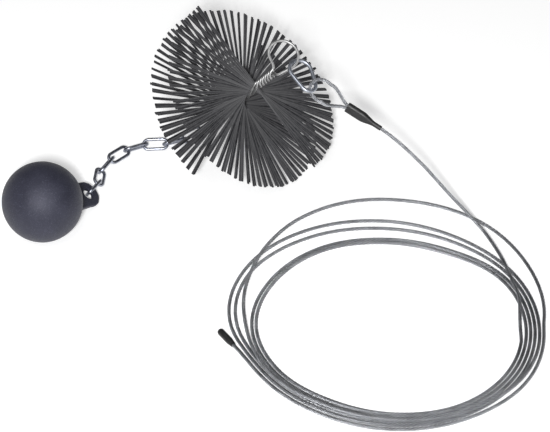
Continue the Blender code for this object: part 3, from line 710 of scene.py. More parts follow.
def read_off(places, values, at):
    """A value from a table, along a smooth curve through its entries."""
    k = 0
    while k < len(places) - 2 and places[k + 1] < at:
        k += 1
    before = max(k - 1, 0)
    after = min(k + 2, len(places) - 1)
    span = places[k + 1] - places[k]
    rise = span * (values[k + 1] - values[before]) / (places[k + 1] - places[before])
    fall = span * (values[after] - values[k]) / (places[after] - places[k])
    a, b, c, d = hermite_weights((at - places[k]) / span)
    return a * values[k] + b * rise + c * values[k + 1] + d * fall


def coil_point(hour):
    """A point of the coil, twelve hours to the loop."""
    loop = min(int(hour / 12), len(coil_fan_shares) - 1)
    on_dial = hour - 12 * loop
    dial = list(range(-1, 14))
    inner = [coil_radius * share for share in coil_radius_shares]
    step = [rope_diameter * share for share in coil_step_shares]
    inner = [inner[-1] - step[-1]] + inner + [inner[0] + step[0], inner[1] + step[1]]
    step = step[-1:] + step + step[:2]
    radius = read_off(dial, inner, on_dial) + loop * read_off(dial, step, on_dial)
    radius += coil_radius * read_off(fan_hours, coil_fan_shares[loop], on_dial)
    climb = smooth_step(ride_hours[0], ride_hours[1], hour)
    up = climb - smooth_step(ride_hours[2], ride_hours[3], hour)
    flat = polar(radius, -math.radians(30 * hour))
    height = rope_diameter / 2 + ride_height * up
    return Vector((coil_centre[0] + flat.x, coil_centre[1] + flat.y, height))


def coil_route(points_per_loop):
    count = round(coil_turns * points_per_loop)
    hours = [coil_start_hour + 12 * i / points_per_loop for i in range(count + 1)]
    return [coil_point(hour) for hour in hours]


coil = coil_route(96)
coarse = coil_route(24)
end_run = (coarse[-1] - coarse[-2]).normalized()
rope_end = coarse[-1] + coil_tail * end_run
rope_end.z = end_sleeve_diameter / 2
coil_tip = rope_end + end_sleeve_length * end_run
before_first = coil_point(coil_start_hour - 0.5)
coil_first = coarse[0] + rope_diameter * (before_first - coarse[0]).normalized()
print("coil", round(length_of(coil), 3), "m in", coil_turns, "turns")

# %% [markdown]
# ## Where the chain, the brush and the hook are
#
# The pieces hang in each other, so each place follows from the one before: the ball's ear, eight
# links, the brush's lower eye, its upper eye, the hook, and the rope's eye. The angles of the links
# were read from the picture, and the rest follows from the wire sizes and a little play.

# %% Ball, ear and chain in place
ball_diameter = 0.080
foot_diameter = 0.016
ear_reach = 0.0628
ear_radius = 0.014
ear_root_width = 0.034
ear_root_reach = 0.030
ear_thickness = 0.005
ear_root_thickness = 0.009
ear_hole_diameter = 0.0115
ear_play = 0.0017
ear_azimuth_deg = 44.6
ear_dip_deg = 24.5
ear_roll_deg = 60.0
link_wire = 0.0032
link_inside_length = 0.0215
link_inside_width = 0.0070
link_play = 0.0006
eye_play = 0.0015
link_poses_deg = (
    (67.1, -10.1, 0.0),
    (86.1, -6.1, 38.0),
    (62.5, 0.0, -52.0),
    (43.9, 0.0, 30.0),
    (24.1, 0.0, -55.0),
    (4.2, 0.0, 35.0),
    (20.5, 0.0, -50.0),
    (40.8, 0.0, 35.0),
)

ball_height = math.sqrt((ball_diameter / 2) ** 2 - (foot_diameter / 2) ** 2)
ball_centre = Vector((0, 0, ball_height))
ear_direction = heading(ear_azimuth_deg, -ear_dip_deg)
ear_side = level_side(ear_direction)
ear_roll = math.radians(ear_roll_deg)
ear_normal = math.sin(ear_roll) * ear_direction.cross(ear_side) - math.cos(ear_roll) * ear_side
hole_centre = ball_centre + ear_reach * ear_direction

link_places = []
far = None
for number, (azimuth, rise, roll_deg) in enumerate(link_poses_deg):
    along = heading(azimuth, rise)
    if number == 0:
        across = (ear_normal - ear_normal.dot(along) * along).normalized()
        near = hole_centre + (ear_hole_diameter / 2 - link_wire / 2 - ear_play) * along
    else:
        side = level_side(along)
        roll = math.radians(roll_deg)
        across = math.cos(roll) * side + math.sin(roll) * along.cross(side)
        pull = (link_places[-1][1] + along).normalized()
        near = far - (link_wire + link_play) * pull
    far = near + (link_inside_length + link_wire) * along
    link_places.append((near, along, across))
print("links", len(link_places))

# %% The brush's core and its two eyes
brush_diameter = 0.200
brush_depth = 0.052
brush_azimuth_deg = -26.1
brush_tilt_deg = 38.5
bristle_turn_deg = 294.0
top_bristle_deg = 75.7
strip_width = 0.0026
strip_thickness = 0.0002
core_wire = 0.0028
core_strand_gap = 0.00035
bare_core_radius = 0.00295
core_blend = 0.006
upper_bare = 0.031
upper_bare_turn_deg = 570.7
lower_bare = 0.014
lower_bare_turn_deg = 199.3
eye_radius = 0.0153
eye_arc_deg = 118.0
upper_neck = 0.023
lower_neck = 0.0282
upper_eye_lean_deg = 16.0
upper_eye_side_lean_deg = 19.0

brush_axis = Vector((0, 0, 1))
brush_axis.rotate(Matrix.Rotation(math.radians(brush_tilt_deg), 3, "Y"))
brush_axis.rotate(Matrix.Rotation(math.radians(brush_azimuth_deg), 3, "Z"))
neck_low = eye_radius + lower_neck
bristles_low = neck_low + lower_bare
bristles_high = bristles_low + brush_depth
neck_high = bristles_high + upper_bare

pull = (along + brush_axis).normalized()
lower_tip = far - ((link_wire + core_wire) / 2 + eye_play) * pull
level = level_side(brush_axis)
brush_place = placement(lower_tip, level, brush_axis.cross(level))


def bare_turn(distance, turn_deg, length):
    """How far the bare core has turned at a distance from the bristles."""
    slow = bristle_turn_deg / brush_depth
    fast = (turn_deg - slow * core_blend / 2) / (length - core_blend / 2)
    if distance < core_blend:
        return slow * distance + (fast - slow) * distance**2 / (2 * core_blend)
    return slow * core_blend / 2 + fast * (distance - core_blend / 2)


def twist_deg(height):
    """Direction of the strips, or of the core's cross-section past them."""
    if height > bristles_high:
        return top_bristle_deg - bare_turn(height - bristles_high, upper_bare_turn_deg, upper_bare)
    if height < bristles_low:
        bottom = top_bristle_deg + bristle_turn_deg
        return bottom + bare_turn(bristles_low - height, lower_bare_turn_deg, lower_bare)
    return top_bristle_deg + bristle_turn_deg * (bristles_high - height) / brush_depth


def strand_point(quadrant, height):
    """Centre of one of the four core strands; they stand apart where the strips pass."""
    past = max(height - bristles_high, bristles_low - height, 0)
    share = smooth_step(0, core_blend, past)
    beside = (core_wire + core_strand_gap) / 2
    clear = strip_width / 2 + clearance + core_wire / 2
    open_radius = math.hypot(beside, clear)
    open_angle = math.atan2(clear, beside)
    radius = open_radius + (bare_core_radius - open_radius) * share
    angle = open_angle + (math.pi / 4 - open_angle) * share
    offsets = (angle, math.pi - angle, math.pi + angle, 2 * math.pi - angle)
    point = polar(radius, offsets[quadrant] + math.radians(twist_deg(height)))
    return point + Vector((0, 0, height))


def strand(quadrant, low, high, step):
    count = math.ceil((high - low) / step)
    return [strand_point(quadrant, low + (high - low) * i / count) for i in range(count + 1)]


def wire_eye(quadrant, neck, direction, neck_length):
    """The bend from one strand round the eye to its twin, leaving the core at a neck."""
    up = direction.normalized()
    exit_point = strand_point(quadrant, neck)
    twin_point = strand_point((quadrant + 2) % 4, neck)
    side = (exit_point - twin_point).normalized()
    side = (side - side.dot(up) * up).normalized()
    middle = Vector((0, 0, neck)) + neck_length * up
    span = math.radians(eye_arc_deg)
    ring = []
    for i in range(49):
        a = span - 2 * span * i / 48
        ring.append(middle + eye_radius * (math.cos(a) * up + math.sin(a) * side))
    toward = 1 if up.z > 0 else -1
    step = core_wire * toward / 4
    rise = (exit_point - strand_point(quadrant, neck - step)).normalized()
    fall = (strand_point((quadrant + 2) % 4, neck - step) - twin_point).normalized()
    reach = (ring[0] - exit_point).length
    begin = math.sin(span) * up - math.cos(span) * side
    end = -math.sin(span) * up - math.cos(span) * side
    bend_in = hermite(exit_point, reach * rise, ring[0], reach * begin, 16)
    bend_out = hermite(ring[-1], reach * end, twin_point, reach * fall, 16)
    return bend_in + ring + bend_out, middle, up, side


lean = math.tan(math.radians(upper_eye_lean_deg))
side_lean = math.tan(math.radians(upper_eye_side_lean_deg))
upper_lean = Vector((lean, side_lean, 1))
upper_bend, eye_middle, eye_up, eye_side = wire_eye(0, neck_high, upper_lean, upper_neck)
lower_bend = wire_eye(1, neck_low, Vector((0, 0, -1)), lower_neck)[0]
print("upper eye", [round(x, 4) for x in brush_place @ eye_middle])

# %% The hook and the rope's eye in place
hook_wire = 0.0038
hook_length = 0.040
hook_width = 0.0272
hook_narrow_width = 0.020
hook_play = 0.0005
hook_seat_deg = 104.0
hook_touch_deg = 111.5
hook_azimuth_deg = -60.8
hook_dip_deg = 24.4
hook_roll_deg = 9.2
nose_length = 0.0016
nose_reach = 0.0026
tang_thickness = 0.0014
tang_width = 0.0032
hinge_height = 0.0026
hinge_play = 0.0004
rope_eye_length = 0.045
rope_eye_radius = 0.0125
rope_eye_arc_deg = 112.0
rope_azimuth_deg = -25.5
rope_dip_deg = 21.6
rope_roll_deg = 11.4
rope_seat_deg = -14.8
rope_play = 0.0009

narrow_radius = (hook_narrow_width - hook_wire) / 2
wide_radius = (hook_width - hook_wire) / 2
narrow_middle = -(hook_length - hook_wire - wide_radius - narrow_radius)
flank = math.asin((wide_radius - narrow_radius) / -narrow_middle)
gate_foot = Vector((0, narrow_middle, 0)) + polar(narrow_radius, -flank)
gate_head = polar(wide_radius, -flank)
gate_line = (gate_head - gate_foot).normalized()

seat = math.radians(hook_seat_deg)
seat_out = math.cos(seat) * eye_up + math.sin(seat) * eye_side
seat_point = brush_place @ (eye_middle + eye_radius * seat_out)
hook_down = heading(hook_azimuth_deg, -hook_dip_deg)
hook_right = rolled(hook_down, 90 + hook_roll_deg)
touch_radius = wide_radius - (hook_wire + core_wire) / 2 - hook_play
touch = touch_radius * polar(1, math.radians(hook_touch_deg))
hook_place = placement(seat_point, hook_right, -hook_down) @ Matrix.Translation(-touch)

rope_side = polar(1, math.radians(rope_seat_deg))
rope_clear = narrow_radius - (hook_wire + rope_diameter) / 2 - rope_play
rope_seat = hook_place @ (Vector((0, narrow_middle, 0)) + rope_clear * rope_side)
rope_run = heading(rope_azimuth_deg, -rope_dip_deg)
rope_place = placement(rope_seat, rope_run, rolled(rope_run, rope_roll_deg).cross(rope_run))
print("rope eye's tip", [round(x, 4) for x in rope_seat])

# %% [markdown]
# ### The rope's own lay
#
# Six round strands touch each other in a ring. Seen from the end they make a rosette, and its
# outline has an exact rule: each lobe is an arc of a circle one third of the rope's size. The tree
# below lays that rosette along the route and turns it once every 25 mm. It could also sweep six
# round tubes, but the rosette has no hidden faces inside, so it takes a third of the mesh.

# %% The rope's tree
rope_lay = 0.025
rope_strands = 6
rope_step = 0.0019
points_per_strand = 5

rope_tree = Tree("laid_rope", floats=("Diameter", "Lay Length", "Step"), ints=("Strands",))
t = rope_tree
strands = t.value("Strands")
route_in = {"Curve": t.value("Geometry"), "Length": t.value("Step")}
even = t.out("GeometryNodeResampleCurve", route_in, mode="LENGTH")
distance = t.add("GeometryNodeSplineParameter").outputs["Length"]
tilt = t.math("MULTIPLY", t.math("DIVIDE", distance, t.value("Lay Length")), 2 * math.pi)
tilted = t.out("GeometryNodeSetCurveTilt", {"Curve": even, "Tilt": tilt})
route = t.stored(tilted, "along", distance)
points_around = t.math("MULTIPLY", strands, points_per_strand)
circle_in = {"Resolution": points_around, "Radius": 1.0}
circle = t.out("GeometryNodeCurvePrimitiveCircle", circle_in)
spot = t.out("GeometryNodeInputPosition")
x, y, _ = t.split(spot)
lobes = t.math("MULTIPLY", t.math("DIVIDE", t.math("ARCTAN2", y, x), 2 * math.pi), strands)
across = t.math("SUBTRACT", t.math("FRACT", t.math("ADD", lobes, 100)), 0.5)
lobe_angle = t.math("DIVIDE", t.math("MULTIPLY", across, 2 * math.pi), strands)
sine = t.math("MULTIPLY", t.math("SINE", lobe_angle), 2)
under = t.math("SQRT", t.math("SUBTRACT", 1.0, t.math("MULTIPLY", sine, sine)))
outline = t.math("ADD", t.math("MULTIPLY", t.math("COSINE", lobe_angle), 2), under)
radius = t.math("MULTIPLY", t.math("DIVIDE", outline, 6), t.value("Diameter"))
shaped = t.out("ShaderNodeVectorMath", {0: spot, "Scale": radius}, operation="SCALE")
rosette = t.out("GeometryNodeSetPosition", {"Geometry": circle, "Position": shaped})
profile = t.stored(rosette, "across", across)
both = {"Curve": route, "Profile Curve": profile, "Fill Caps": True}
t.end(t.smooth(t.out("GeometryNodeCurveToMesh", both)), rope_zinc)


def laid_rope(name, points):
    """A rope along a route, from the tree above."""
    curve = bpy.data.curves.new(name + "_route", "CURVE")
    curve.dimensions = "3D"
    line = curve.splines.new("POLY")
    line.points.add(len(points) - 1)
    for knot, p in zip(line.points, points):
        knot.co = (*p, 1)
    sizes = {
        "Diameter": rope_diameter,
        "Lay Length": rope_lay,
        "Strands": rope_strands,
        "Step": rope_step,
    }
    return rope_tree.run(name, in_scene(name + "_route", curve), sizes)


# %% [markdown]
# ### Eye, lead and coil
#
# The eye's two legs run side by side into the ferrule. The lead leaves it, drops from the hook in a
# long curve, and swings over the coil to join its first turn. Its route is a list of points, as
# shares of the way from the sleeve to the coil, with a smooth curve through them.

# %% The rope's pieces
leg_offset = rope_diameter / 2 + clearance / 2
ferrule_length = 0.014
sleeve_length = 0.040
sleeve_lap = 0.003
sleeve_taper = 0.009
ferrule_handle = 0.65
ring_handle = 0.9
lead_route_shares = (
    (0.098, 0.024, 0.097),
    (0.203, 0.064, 0.196),
    (0.334, 0.116, 0.342),
    (0.435, 0.159, 0.474),
    (0.544, 0.205, 0.620),
    (0.634, 0.237, 0.739),
    (0.715, 0.273, 0.838),
    (0.790, 0.326, 0.902),
    (0.856, 0.405, 0.931),
    (0.912, 0.496, 0.942),
    (0.961, 0.612, 0.942),
    (0.993, 0.694, 0.942),
    (1.010, 0.758, 0.942),
    (1.009, 0.812, 0.948),
    (1.004, 0.867, 0.966),
    (1.001, 0.926, 0.992),
)


def smooth_route(points, fineness):
    """A Catmull-Rom curve through the points."""
    ends = [2 * points[0] - points[1]] + list(points) + [2 * points[-1] - points[-2]]
    fine = []
    for i in range(1, len(ends) - 2):
        before, a, b, after = ends[i - 1 : i + 3]
        fine += [a] + hermite(a, (b - before) / 2, b, (after - a) / 2, fineness)
    return fine + [points[-1]]


def eye_route():
    """The soft eye, from the end of one leg in the ferrule to the end of the other."""
    span = math.radians(rope_eye_arc_deg)
    middle = Vector((rope_eye_radius, 0, 0))
    ring = []
    for i in range(61):
        a = math.pi + span - 2 * span * i / 60
        ring.append(middle + rope_eye_radius * Vector((math.cos(a), 0, math.sin(a))))
    entry = rope_eye_length - rope_diameter
    leg_end = rope_eye_length + ferrule_length
    low = [Vector((leg_end, 0, -leg_offset)), Vector((entry, 0, -leg_offset))]
    high = [Vector((entry, 0, leg_offset)), Vector((leg_end, 0, leg_offset))]
    reach = (ring[0] - low[-1]).length
    tangent = Vector((math.sin(span), 0, -math.cos(span)))
    mirrored = Vector((tangent.x, 0, -tangent.z))
    at_ferrule = Vector((ferrule_handle * reach, 0, 0))
    at_ring = ring_handle * reach
    bend_in = hermite(low[-1], -at_ferrule, ring[0], -at_ring * mirrored, 20)
    bend_out = hermite(ring[-1], at_ring * tangent, high[0], at_ferrule, 20)
    return [rope_place @ p for p in low + bend_in + ring + bend_out + high]


def lead_route():
    """From the ferrule, through the sleeve and over the coil to its first turn."""
    inside = rope_eye_length + ferrule_length + clearance
    out = rope_eye_length - sleeve_lap + sleeve_length
    aside = Vector((0, 0, leg_offset))
    start = rope_place @ (Vector((inside, 0, 0)) + aside)
    bend = rope_place @ (Vector((inside + rope_diameter / 2, 0, 0)) + aside)
    centred = rope_place @ Vector((inside + sleeve_taper, 0, 0))
    mouth = rope_place @ Vector((out, 0, 0))
    knots = [mouth]
    for share in lead_route_shares:
        step = [share[i] * (coil_first[i] - mouth[i]) for i in range(3)]
        knots.append(mouth + Vector(step))
    run = (coarse[0] - coil_first).normalized()
    knots += [coil_first - rope_diameter * run, coil_first]
    return [start, bend, centred] + smooth_route(knots, 12)


lead = lead_route()
whole = lead + coil + [rope_end, coil_tip]
rope = laid_rope("wire_rope", whole)
eye_piece = laid_rope("soft_eye", eye_route())
settle(rope, "rope", "rope_steel", "rope_lead", "rope_coil")
settle(eye_piece, "rope", "rope_steel", "rope_eye")

# %% [markdown]
# ## Ferrule, shrink sleeve and end cap
#
# An oval ferrule is pressed over both legs of the eye. A black shrink tube covers it and grips the
# single rope beyond, so it is wide over the ferrule and narrow at its tail. It is a loft of ovals:
# each is a circle whose two halves stand apart. The tube draws in past the ferrule's end, where the
# short leg stops. Fine waves keep the surface from looking machined.

# %% Ferrule and sleeves
bore_radius = rope_diameter / 2 + clearance
ferrule_wall = 0.0008
ferrule_bite = 0.00009
ferrule_rounding = 0.0003
rounded_share = 0.06
sleeve_wall = 0.0004
sleeve_wave = 0.006
waves_round = 3
wave_slant = 900
sleeve_lip = 0.00012
sleeve_lip_length = 0.0012
drawn_length = 0.014


def oval_ring(at, radius, lift, sides, wave=0.0):
    """A ring round two ropes side by side, across the rope's own direction."""
    ring = []
    for a in round_angles(sides, 0.5):
        r = radius * (1 + wave * math.sin(waves_round * a + wave_slant * at))
        up = math.copysign(lift, math.sin(a)) * min(1, abs(4 * math.sin(a)))
        ring.append(rope_place @ Vector((at, r * math.cos(a), r * math.sin(a) + up)))
    return ring


def lofted(name, stations, look, sides=48, wave=0.0):
    """An oval tube with a wall, along stations of (place, outer radius, inner radius, lift)."""
    outside = [oval_ring(x, outer, lift, sides, wave) for x, outer, _, lift in stations]
    inside = [oval_ring(x, inner, lift, sides) for x, _, inner, lift in stations]
    return skin(name, outside + inside[::-1], look, closed_loop=True)


def pressed_ferrule():
    """Pressed in three bites, with its edges rounded by the die."""
    outer = bore_radius + ferrule_wall
    stations = []
    count = 28
    for i in range(count + 1):
        share = i / count
        bite = ferrule_bite * (0.5 - 0.5 * math.cos(6 * math.pi * share))
        rounding = ferrule_rounding * (1 - smooth_step(0, rounded_share, min(share, 1 - share)))
        x = rope_eye_length + ferrule_length * share
        stations.append((x, outer - bite - rounding, bore_radius, leg_offset))
    return lofted("pressed_ferrule", stations, ferrule_alloy)


def shrunk_tube():
    """Wide over the ferrule, then drawn in to the single rope."""
    low = rope_eye_length - sleeve_lap
    over = rope_eye_length + ferrule_length + clearance
    high = low + sleeve_length
    wide = bore_radius + ferrule_wall + clearance
    stations = []
    count = 64
    for i in range(count + 1):
        x = low + (high - low) * i / count
        straight = max(0, min(1, (x - over) / drawn_length))
        drawn = 0.5 * straight**1.3 + 0.5 * smooth_step(over, over + drawn_length, x)
        inner = wide + (bore_radius - wide) * drawn
        lip = sleeve_lip * (1 - smooth_step(0, sleeve_lip_length, min(x - low, high - x)))
        stations.append((x, inner + sleeve_wall - lip, inner, leg_offset * (1 - drawn)))
    return lofted("shrink_tube", stations, black_tube, 56, sleeve_wave)


ferrule = settle(pressed_ferrule(), "rope", "ferrule_metal", "ferrule")
sleeve = settle(shrunk_tube(), "rope", "black_plastic", "shrink_sleeve")

# %% [markdown]
# The free end of the rope wears a cap of the same black tube, shrunk closed at its tip. Its end is
# a blunt dome with a shallow dimple, as heated tube draws together.

# %% End cap


def end_cap():
    """A closed cap; heights count from the rope's end."""
    outer = end_sleeve_diameter / 2
    inner = rope_diameter / 2 + clearance
    thin = inner + sleeve_wall
    top = clearance + end_sleeve_length - end_sleeve_grip
    profile = [(outer * 0.06, top - 0.0005), (outer * 0.16, top - 0.0002)]
    for i in range(1, 13):
        a = math.pi / 2 * (1 - i / 13)
        profile.append((outer * (0.2 + 0.8 * math.cos(a)), top - outer * (1 - math.sin(a))))
    profile += [(outer, 0.001), (outer, -end_sleeve_grip / 2)]
    profile += [(thin, -end_sleeve_grip * 0.97), (thin * 0.97, -end_sleeve_grip)]
    profile += [(inner, -end_sleeve_grip), (inner, clearance), (inner * 0.1, clearance)]
    return turned("end_cap", profile, coil_tip, end_run, black_tube)


cap = settle(end_cap(), "rope", "black_plastic", "end_sleeve")

# %% [markdown]
# ## Ball
#
# A sand casting has no sharp edge where the ear meets the ball: the metal fills that corner with a
# fillet. The sphere and the ear are merged on a fine voxel grid, and smoothing then runs them into
# each other. A Boolean would keep a hard seam there, and a bevel on that seam breaks easily.

# %% Cast ball with its ear
casting_voxel = 0.0008
smoothing_passes = 14
hole_allowance = 0.0004  # the hole starts narrower, because the smoothing opens it
cast_bumps = 0.00010
broad_bumps = 70
fine_bumps = 160


def joined(objects, name):
    """One object from several."""
    work = bmesh.new()
    for obj in objects:
        work.from_mesh(obj.data)
        bpy.data.objects.remove(obj, do_unlink=True)
    return in_scene(name, as_mesh(name, work))


def cut(obj, tool, operation="DIFFERENCE"):
    """The object after a Boolean with a tool, which is removed."""
    name = obj.name
    step = obj.modifiers.new("cut", "BOOLEAN")
    step.operation = operation
    step.solver = "EXACT"
    step.object = tool
    obj.name = name + "_before"
    done = evaluated_copy(name, obj)
    bpy.data.objects.remove(tool, do_unlink=True)
    return done


def rod(name, diameter, length, place, sides=48):
    """A cylinder about a placement's Z axis."""
    rings = []
    for z in (-length / 2, length / 2):
        lift = Vector((0, 0, z))
        rings.append([place @ (polar(diameter / 2, a) + lift) for a in round_angles(sides)])
    return skin(name, rings, hook_zinc)


def cast_ear():
    """A tongue, wide and thick at its root, with a round eye at its end."""
    tip = Vector((ear_reach, 0, 0))
    spread = math.radians(100)
    outline = [Vector((ear_root_reach, -ear_root_width / 2, 0))]
    outline += arc(tip, ear_radius, -spread, spread, 49)
    outline.append(Vector((ear_root_reach, ear_root_width / 2, 0)))
    draft = (ear_root_thickness / ear_thickness - 1) / (ear_reach - ear_root_reach)
    faces = []
    for side in (-1, 1):
        ring = []
        for p in outline:
            z = side * ear_thickness / 2 * (1 + draft * (ear_reach - p.x))
            ring.append(Vector((p.x, p.y, z)))
        faces.append(ring)
    bore = ear_hole_diameter - hole_allowance
    hole = rod("ear_hole", bore, 3 * ear_root_thickness, Matrix.Translation(tip))
    ear = cut(skin("ear", faces, cast_paint), hole)
    ear_across = ear_normal.cross(ear_direction)
    return placed(ear, placement(Vector((0, 0, 0)), ear_direction, ear_across))


def cast_ball():
    work = bmesh.new()
    bmesh.ops.create_uvsphere(work, u_segments=160, v_segments=80, radius=ball_diameter / 2)
    sphere = in_scene("sphere", as_mesh("sphere", work))
    rough = joined([sphere, cast_ear()], "rough_casting")
    grid = rough.modifiers.new("grid", "REMESH")
    grid.mode = "VOXEL"
    grid.voxel_size = casting_voxel
    ease = rough.modifiers.new("ease", "SMOOTH")
    ease.factor = 0.5
    ease.iterations = smoothing_passes
    ball = evaluated_copy("painted_ball", rough)
    for v in ball.data.vertices:
        bumps = noise.noise(v.co * broad_bumps) + 0.5 * noise.noise(v.co * fine_bumps)
        v.co += cast_bumps * bumps * v.co.normalized()
        v.co += ball_centre
        v.co.z = max(v.co.z, 0)
    ball.data.shade_smooth()
    paint(ball.data, cast_paint)
    return ball


settle(cast_ball(), "ball", "cast_coat", "cast_iron_ball")

# %% [markdown]
# ## Chain
#
# Each link is bent from round wire and butt welded in one long side. The tree bends a circle into a
# racetrack by pushing its two halves apart, and swells the wire a little at the weld. One tree with
# named sizes makes all eight, and each gets its own seed, so that no two welds are quite the same.

# %% Links
weld_swelling = 0.07
weld_wander = 0.12
weld_half_width = 0.35

link_tree = Tree(
    "welded_link",
    floats=("Wire", "Inside Length", "Inside Width", "Weld Swelling"),
    ints=("Seed",),
)
t = link_tree
wire = t.value("Wire")
half_wire = t.math("MULTIPLY", wire, 0.5)
bend_radius = t.math("MULTIPLY", t.math("ADD", t.value("Inside Width"), wire), 0.5)
length = t.math("ADD", t.value("Inside Length"), wire)
half_length = t.math("MULTIPLY", length, 0.5)
half_straight = t.math("SUBTRACT", half_length, bend_radius)
circle = t.out("GeometryNodeCurvePrimitiveCircle", {"Resolution": 50, "Radius": bend_radius})
x, y, _ = t.split(t.out("GeometryNodeInputPosition"))
apart = t.math("MULTIPLY", t.math("SIGN", x), half_straight)
shift = t.combine(X=t.math("ADD", apart, half_length))
track = t.out("GeometryNodeSetPosition", {"Geometry": circle, "Offset": shift})
even = t.out("GeometryNodeResampleCurve", {"Curve": track, "Count": 120}, mode="COUNT")
middle_share = t.math("ADD", t.random(-weld_wander, weld_wander, each=0), 0.5)
from_weld = t.math("SUBTRACT", x, t.math("MULTIPLY", length, middle_share))
in_wires = t.math("DIVIDE", from_weld, t.math("MULTIPLY", wire, weld_half_width))
bell = t.math("EXPONENT", t.math("MULTIPLY", t.math("MULTIPLY", in_wires, in_wires), -1))
on_side = t.math("GREATER_THAN", y, 0)
swelling = t.math("MULTIPLY", t.math("MULTIPLY", bell, on_side), t.value("Weld Swelling"))
thicker = t.math("ADD", swelling, 1)
swollen = t.out("GeometryNodeSetCurveRadius", {"Curve": even, "Radius": thicker})
section = t.out("GeometryNodeCurvePrimitiveCircle", {"Resolution": 20, "Radius": half_wire})
swept = t.out("GeometryNodeCurveToMesh", {"Curve": swollen, "Profile Curve": section})
t.end(t.smooth(swept), chain_steel)

for number, (near, along, across) in enumerate(link_places, start=1):
    sizes = {
        "Wire": link_wire,
        "Inside Length": link_inside_length,
        "Inside Width": link_inside_width,
        "Weld Swelling": weld_swelling,
        "Seed": number,
    }
    link = link_tree.run(f"welded_link_{number}", blank(), sizes)
    placed(link, placement(near, along, across))
    settle(link, f"link_{number}", "dark_steel", f"chain_link_{number}")

# %% [markdown]
# ## Core of the brush
#
# Two wires are folded in half. Their four legs are laid side by side, the strips are put between
# them, and the whole is twisted. So the legs form a four-start screw: slow where the strips hold
# them apart, and fast on the bare ends. Each wire is one tube that follows the twist and its eye.

# %% Core wires
core_end_setback = 0.001
fine_step = 0.0008
low_end = neck_low + core_end_setback
high_end = neck_high - core_end_setback
up_leg = strand(0, low_end, neck_high, fine_step)
down_leg = strand(2, low_end, neck_high, fine_step)[::-1]
upper_wire = tube("upper_core_wire", up_leg + upper_bend + down_leg, core_wire, core_zinc)
up_leg = strand(1, neck_low, high_end, fine_step)[::-1]
down_leg = strand(3, neck_low, high_end, fine_step)
lower_wire = tube("lower_core_wire", up_leg + lower_bend + down_leg, core_wire, core_zinc)
settle(placed(upper_wire, brush_place), "brush", "galvanised_wire", "core_wire_upper_eye")
settle(placed(lower_wire, brush_place), "brush", "galvanised_wire", "core_wire_lower_eye")

# %% [markdown]
# ## Strips
#
# The bristles are flat spring steel strips, three on each other at each of 64 places up the core.
# Each one passes through the core and stands out on both sides, so the brush is a double screw
# surface. The tree sets a line of points up the core, puts a strip on each, turns it by the twist
# at its height, and adds what a used brush has: some splay, a slight bend and uneven ends.
#
# Curves with a profile would do too, but a thin box instanced on a line of points is far lighter.

# %% Strips of the brush
opening_range = (0.3, 1.7)
length_range = (0.975, 1.0)
bend_power = 2.2
shade_stretch = 97
noise_offsets = {"X": 0.0, "Y": 31.7, "Z": 71.3}

strip_tree = Tree(
    "twisted_in_strips",
    floats=(
        "Low", "Depth", "Turn", "Top Angle", "Diameter", "Width", "Thickness",
        "Splay", "Wander", "Roll", "Bend",
    ),
    ints=("Places", "Strips", "Seed"),
)
t = strip_tree
count = t.math("MULTIPLY", t.value("Places"), t.value("Strips"))
pitch = t.math("DIVIDE", t.value("Depth"), count)
first = t.combine(Z=t.math("MULTIPLY_ADD", pitch, 0.5, t.value("Low")))
up_core = {"Count": count, "Start Location": first, "Offset": t.combine(Z=pitch)}
line = t.out("GeometryNodeMeshLine", up_core, mode="OFFSET")

size = t.combine(X=t.value("Diameter"), Y=t.value("Width"), Z=t.value("Thickness"))
box = t.out("GeometryNodeMeshCube", {"Size": size, "Vertices X": 13})
x, y, _ = t.split(t.out("GeometryNodeInputPosition"))
strip = t.stored(box, "along", t.math("ABSOLUTE", x))
strip = t.stored(strip, "side", t.math("SIGN", y))

index = t.out("GeometryNodeInputIndex")
bundle = t.math("FLOOR", t.math("DIVIDE", index, t.value("Strips")))
height_share = t.math("DIVIDE", t.math("ADD", bundle, 0.5), t.value("Places"))
twist = t.math("MULTIPLY", t.math("SUBTRACT", 1, height_share), t.value("Turn"))
middle_strip = t.math("MULTIPLY", t.math("SUBTRACT", t.value("Strips"), 1), 0.5)
within = t.math("SUBTRACT", t.math("MODULO", index, t.value("Strips")), middle_strip)
openness = t.math("MULTIPLY", t.random(*opening_range, 5, bundle), t.value("Splay"))
splay = t.math("MULTIPLY", within, openness)
both_wander = t.math("ADD", t.random(-1, 1, 1), t.random(-1, 1, 6, bundle))
wander = t.math("MULTIPLY", both_wander, t.value("Wander"))
turn = t.math("ADD", t.math("ADD", twist, t.value("Top Angle")), t.math("ADD", splay, wander))
lean = t.math("MULTIPLY", t.random(-1, 1, 2), t.math("MULTIPLY", t.value("Wander"), 0.5))
roll = t.math("MULTIPLY", t.random(-1, 1, 7), t.value("Roll"))
on_line = {
    "Points": line,
    "Instance": strip,
    "Rotation": t.combine(X=roll, Y=lean, Z=turn),
    "Scale": t.combine(X=t.random(*length_range, 3), Y=1.0, Z=1.0),
}
stood = t.out("GeometryNodeInstanceOnPoints", on_line)
shaded = t.stored(stood, "shade", t.random(0, 1, 4), "INSTANCE")
loose = t.out("GeometryNodeRealizeInstances", {"Geometry": shaded})

far_share = t.math("DIVIDE", t.read("along"), t.math("MULTIPLY", t.value("Diameter"), 0.5))
curved = t.math("MULTIPLY", t.math("POWER", far_share, bend_power), t.value("Bend"))
own = t.math("MULTIPLY", t.read("shade"), shade_stretch)
ways = {}
for way, offset in noise_offsets.items():
    place = t.combine(X=t.math("ADD", own, offset), Y=t.math("SIGN", x))
    cloud = t.out("ShaderNodeTexNoise", {"Vector": place, "Scale": 1.0, "Detail": 0.0})
    ways[way] = t.math("MULTIPLY", t.math("SUBTRACT", cloud, 0.5), curved)
bent = t.out("GeometryNodeSetPosition", {"Geometry": loose, "Offset": t.combine(**ways)})
t.end(bent, strip_steel)

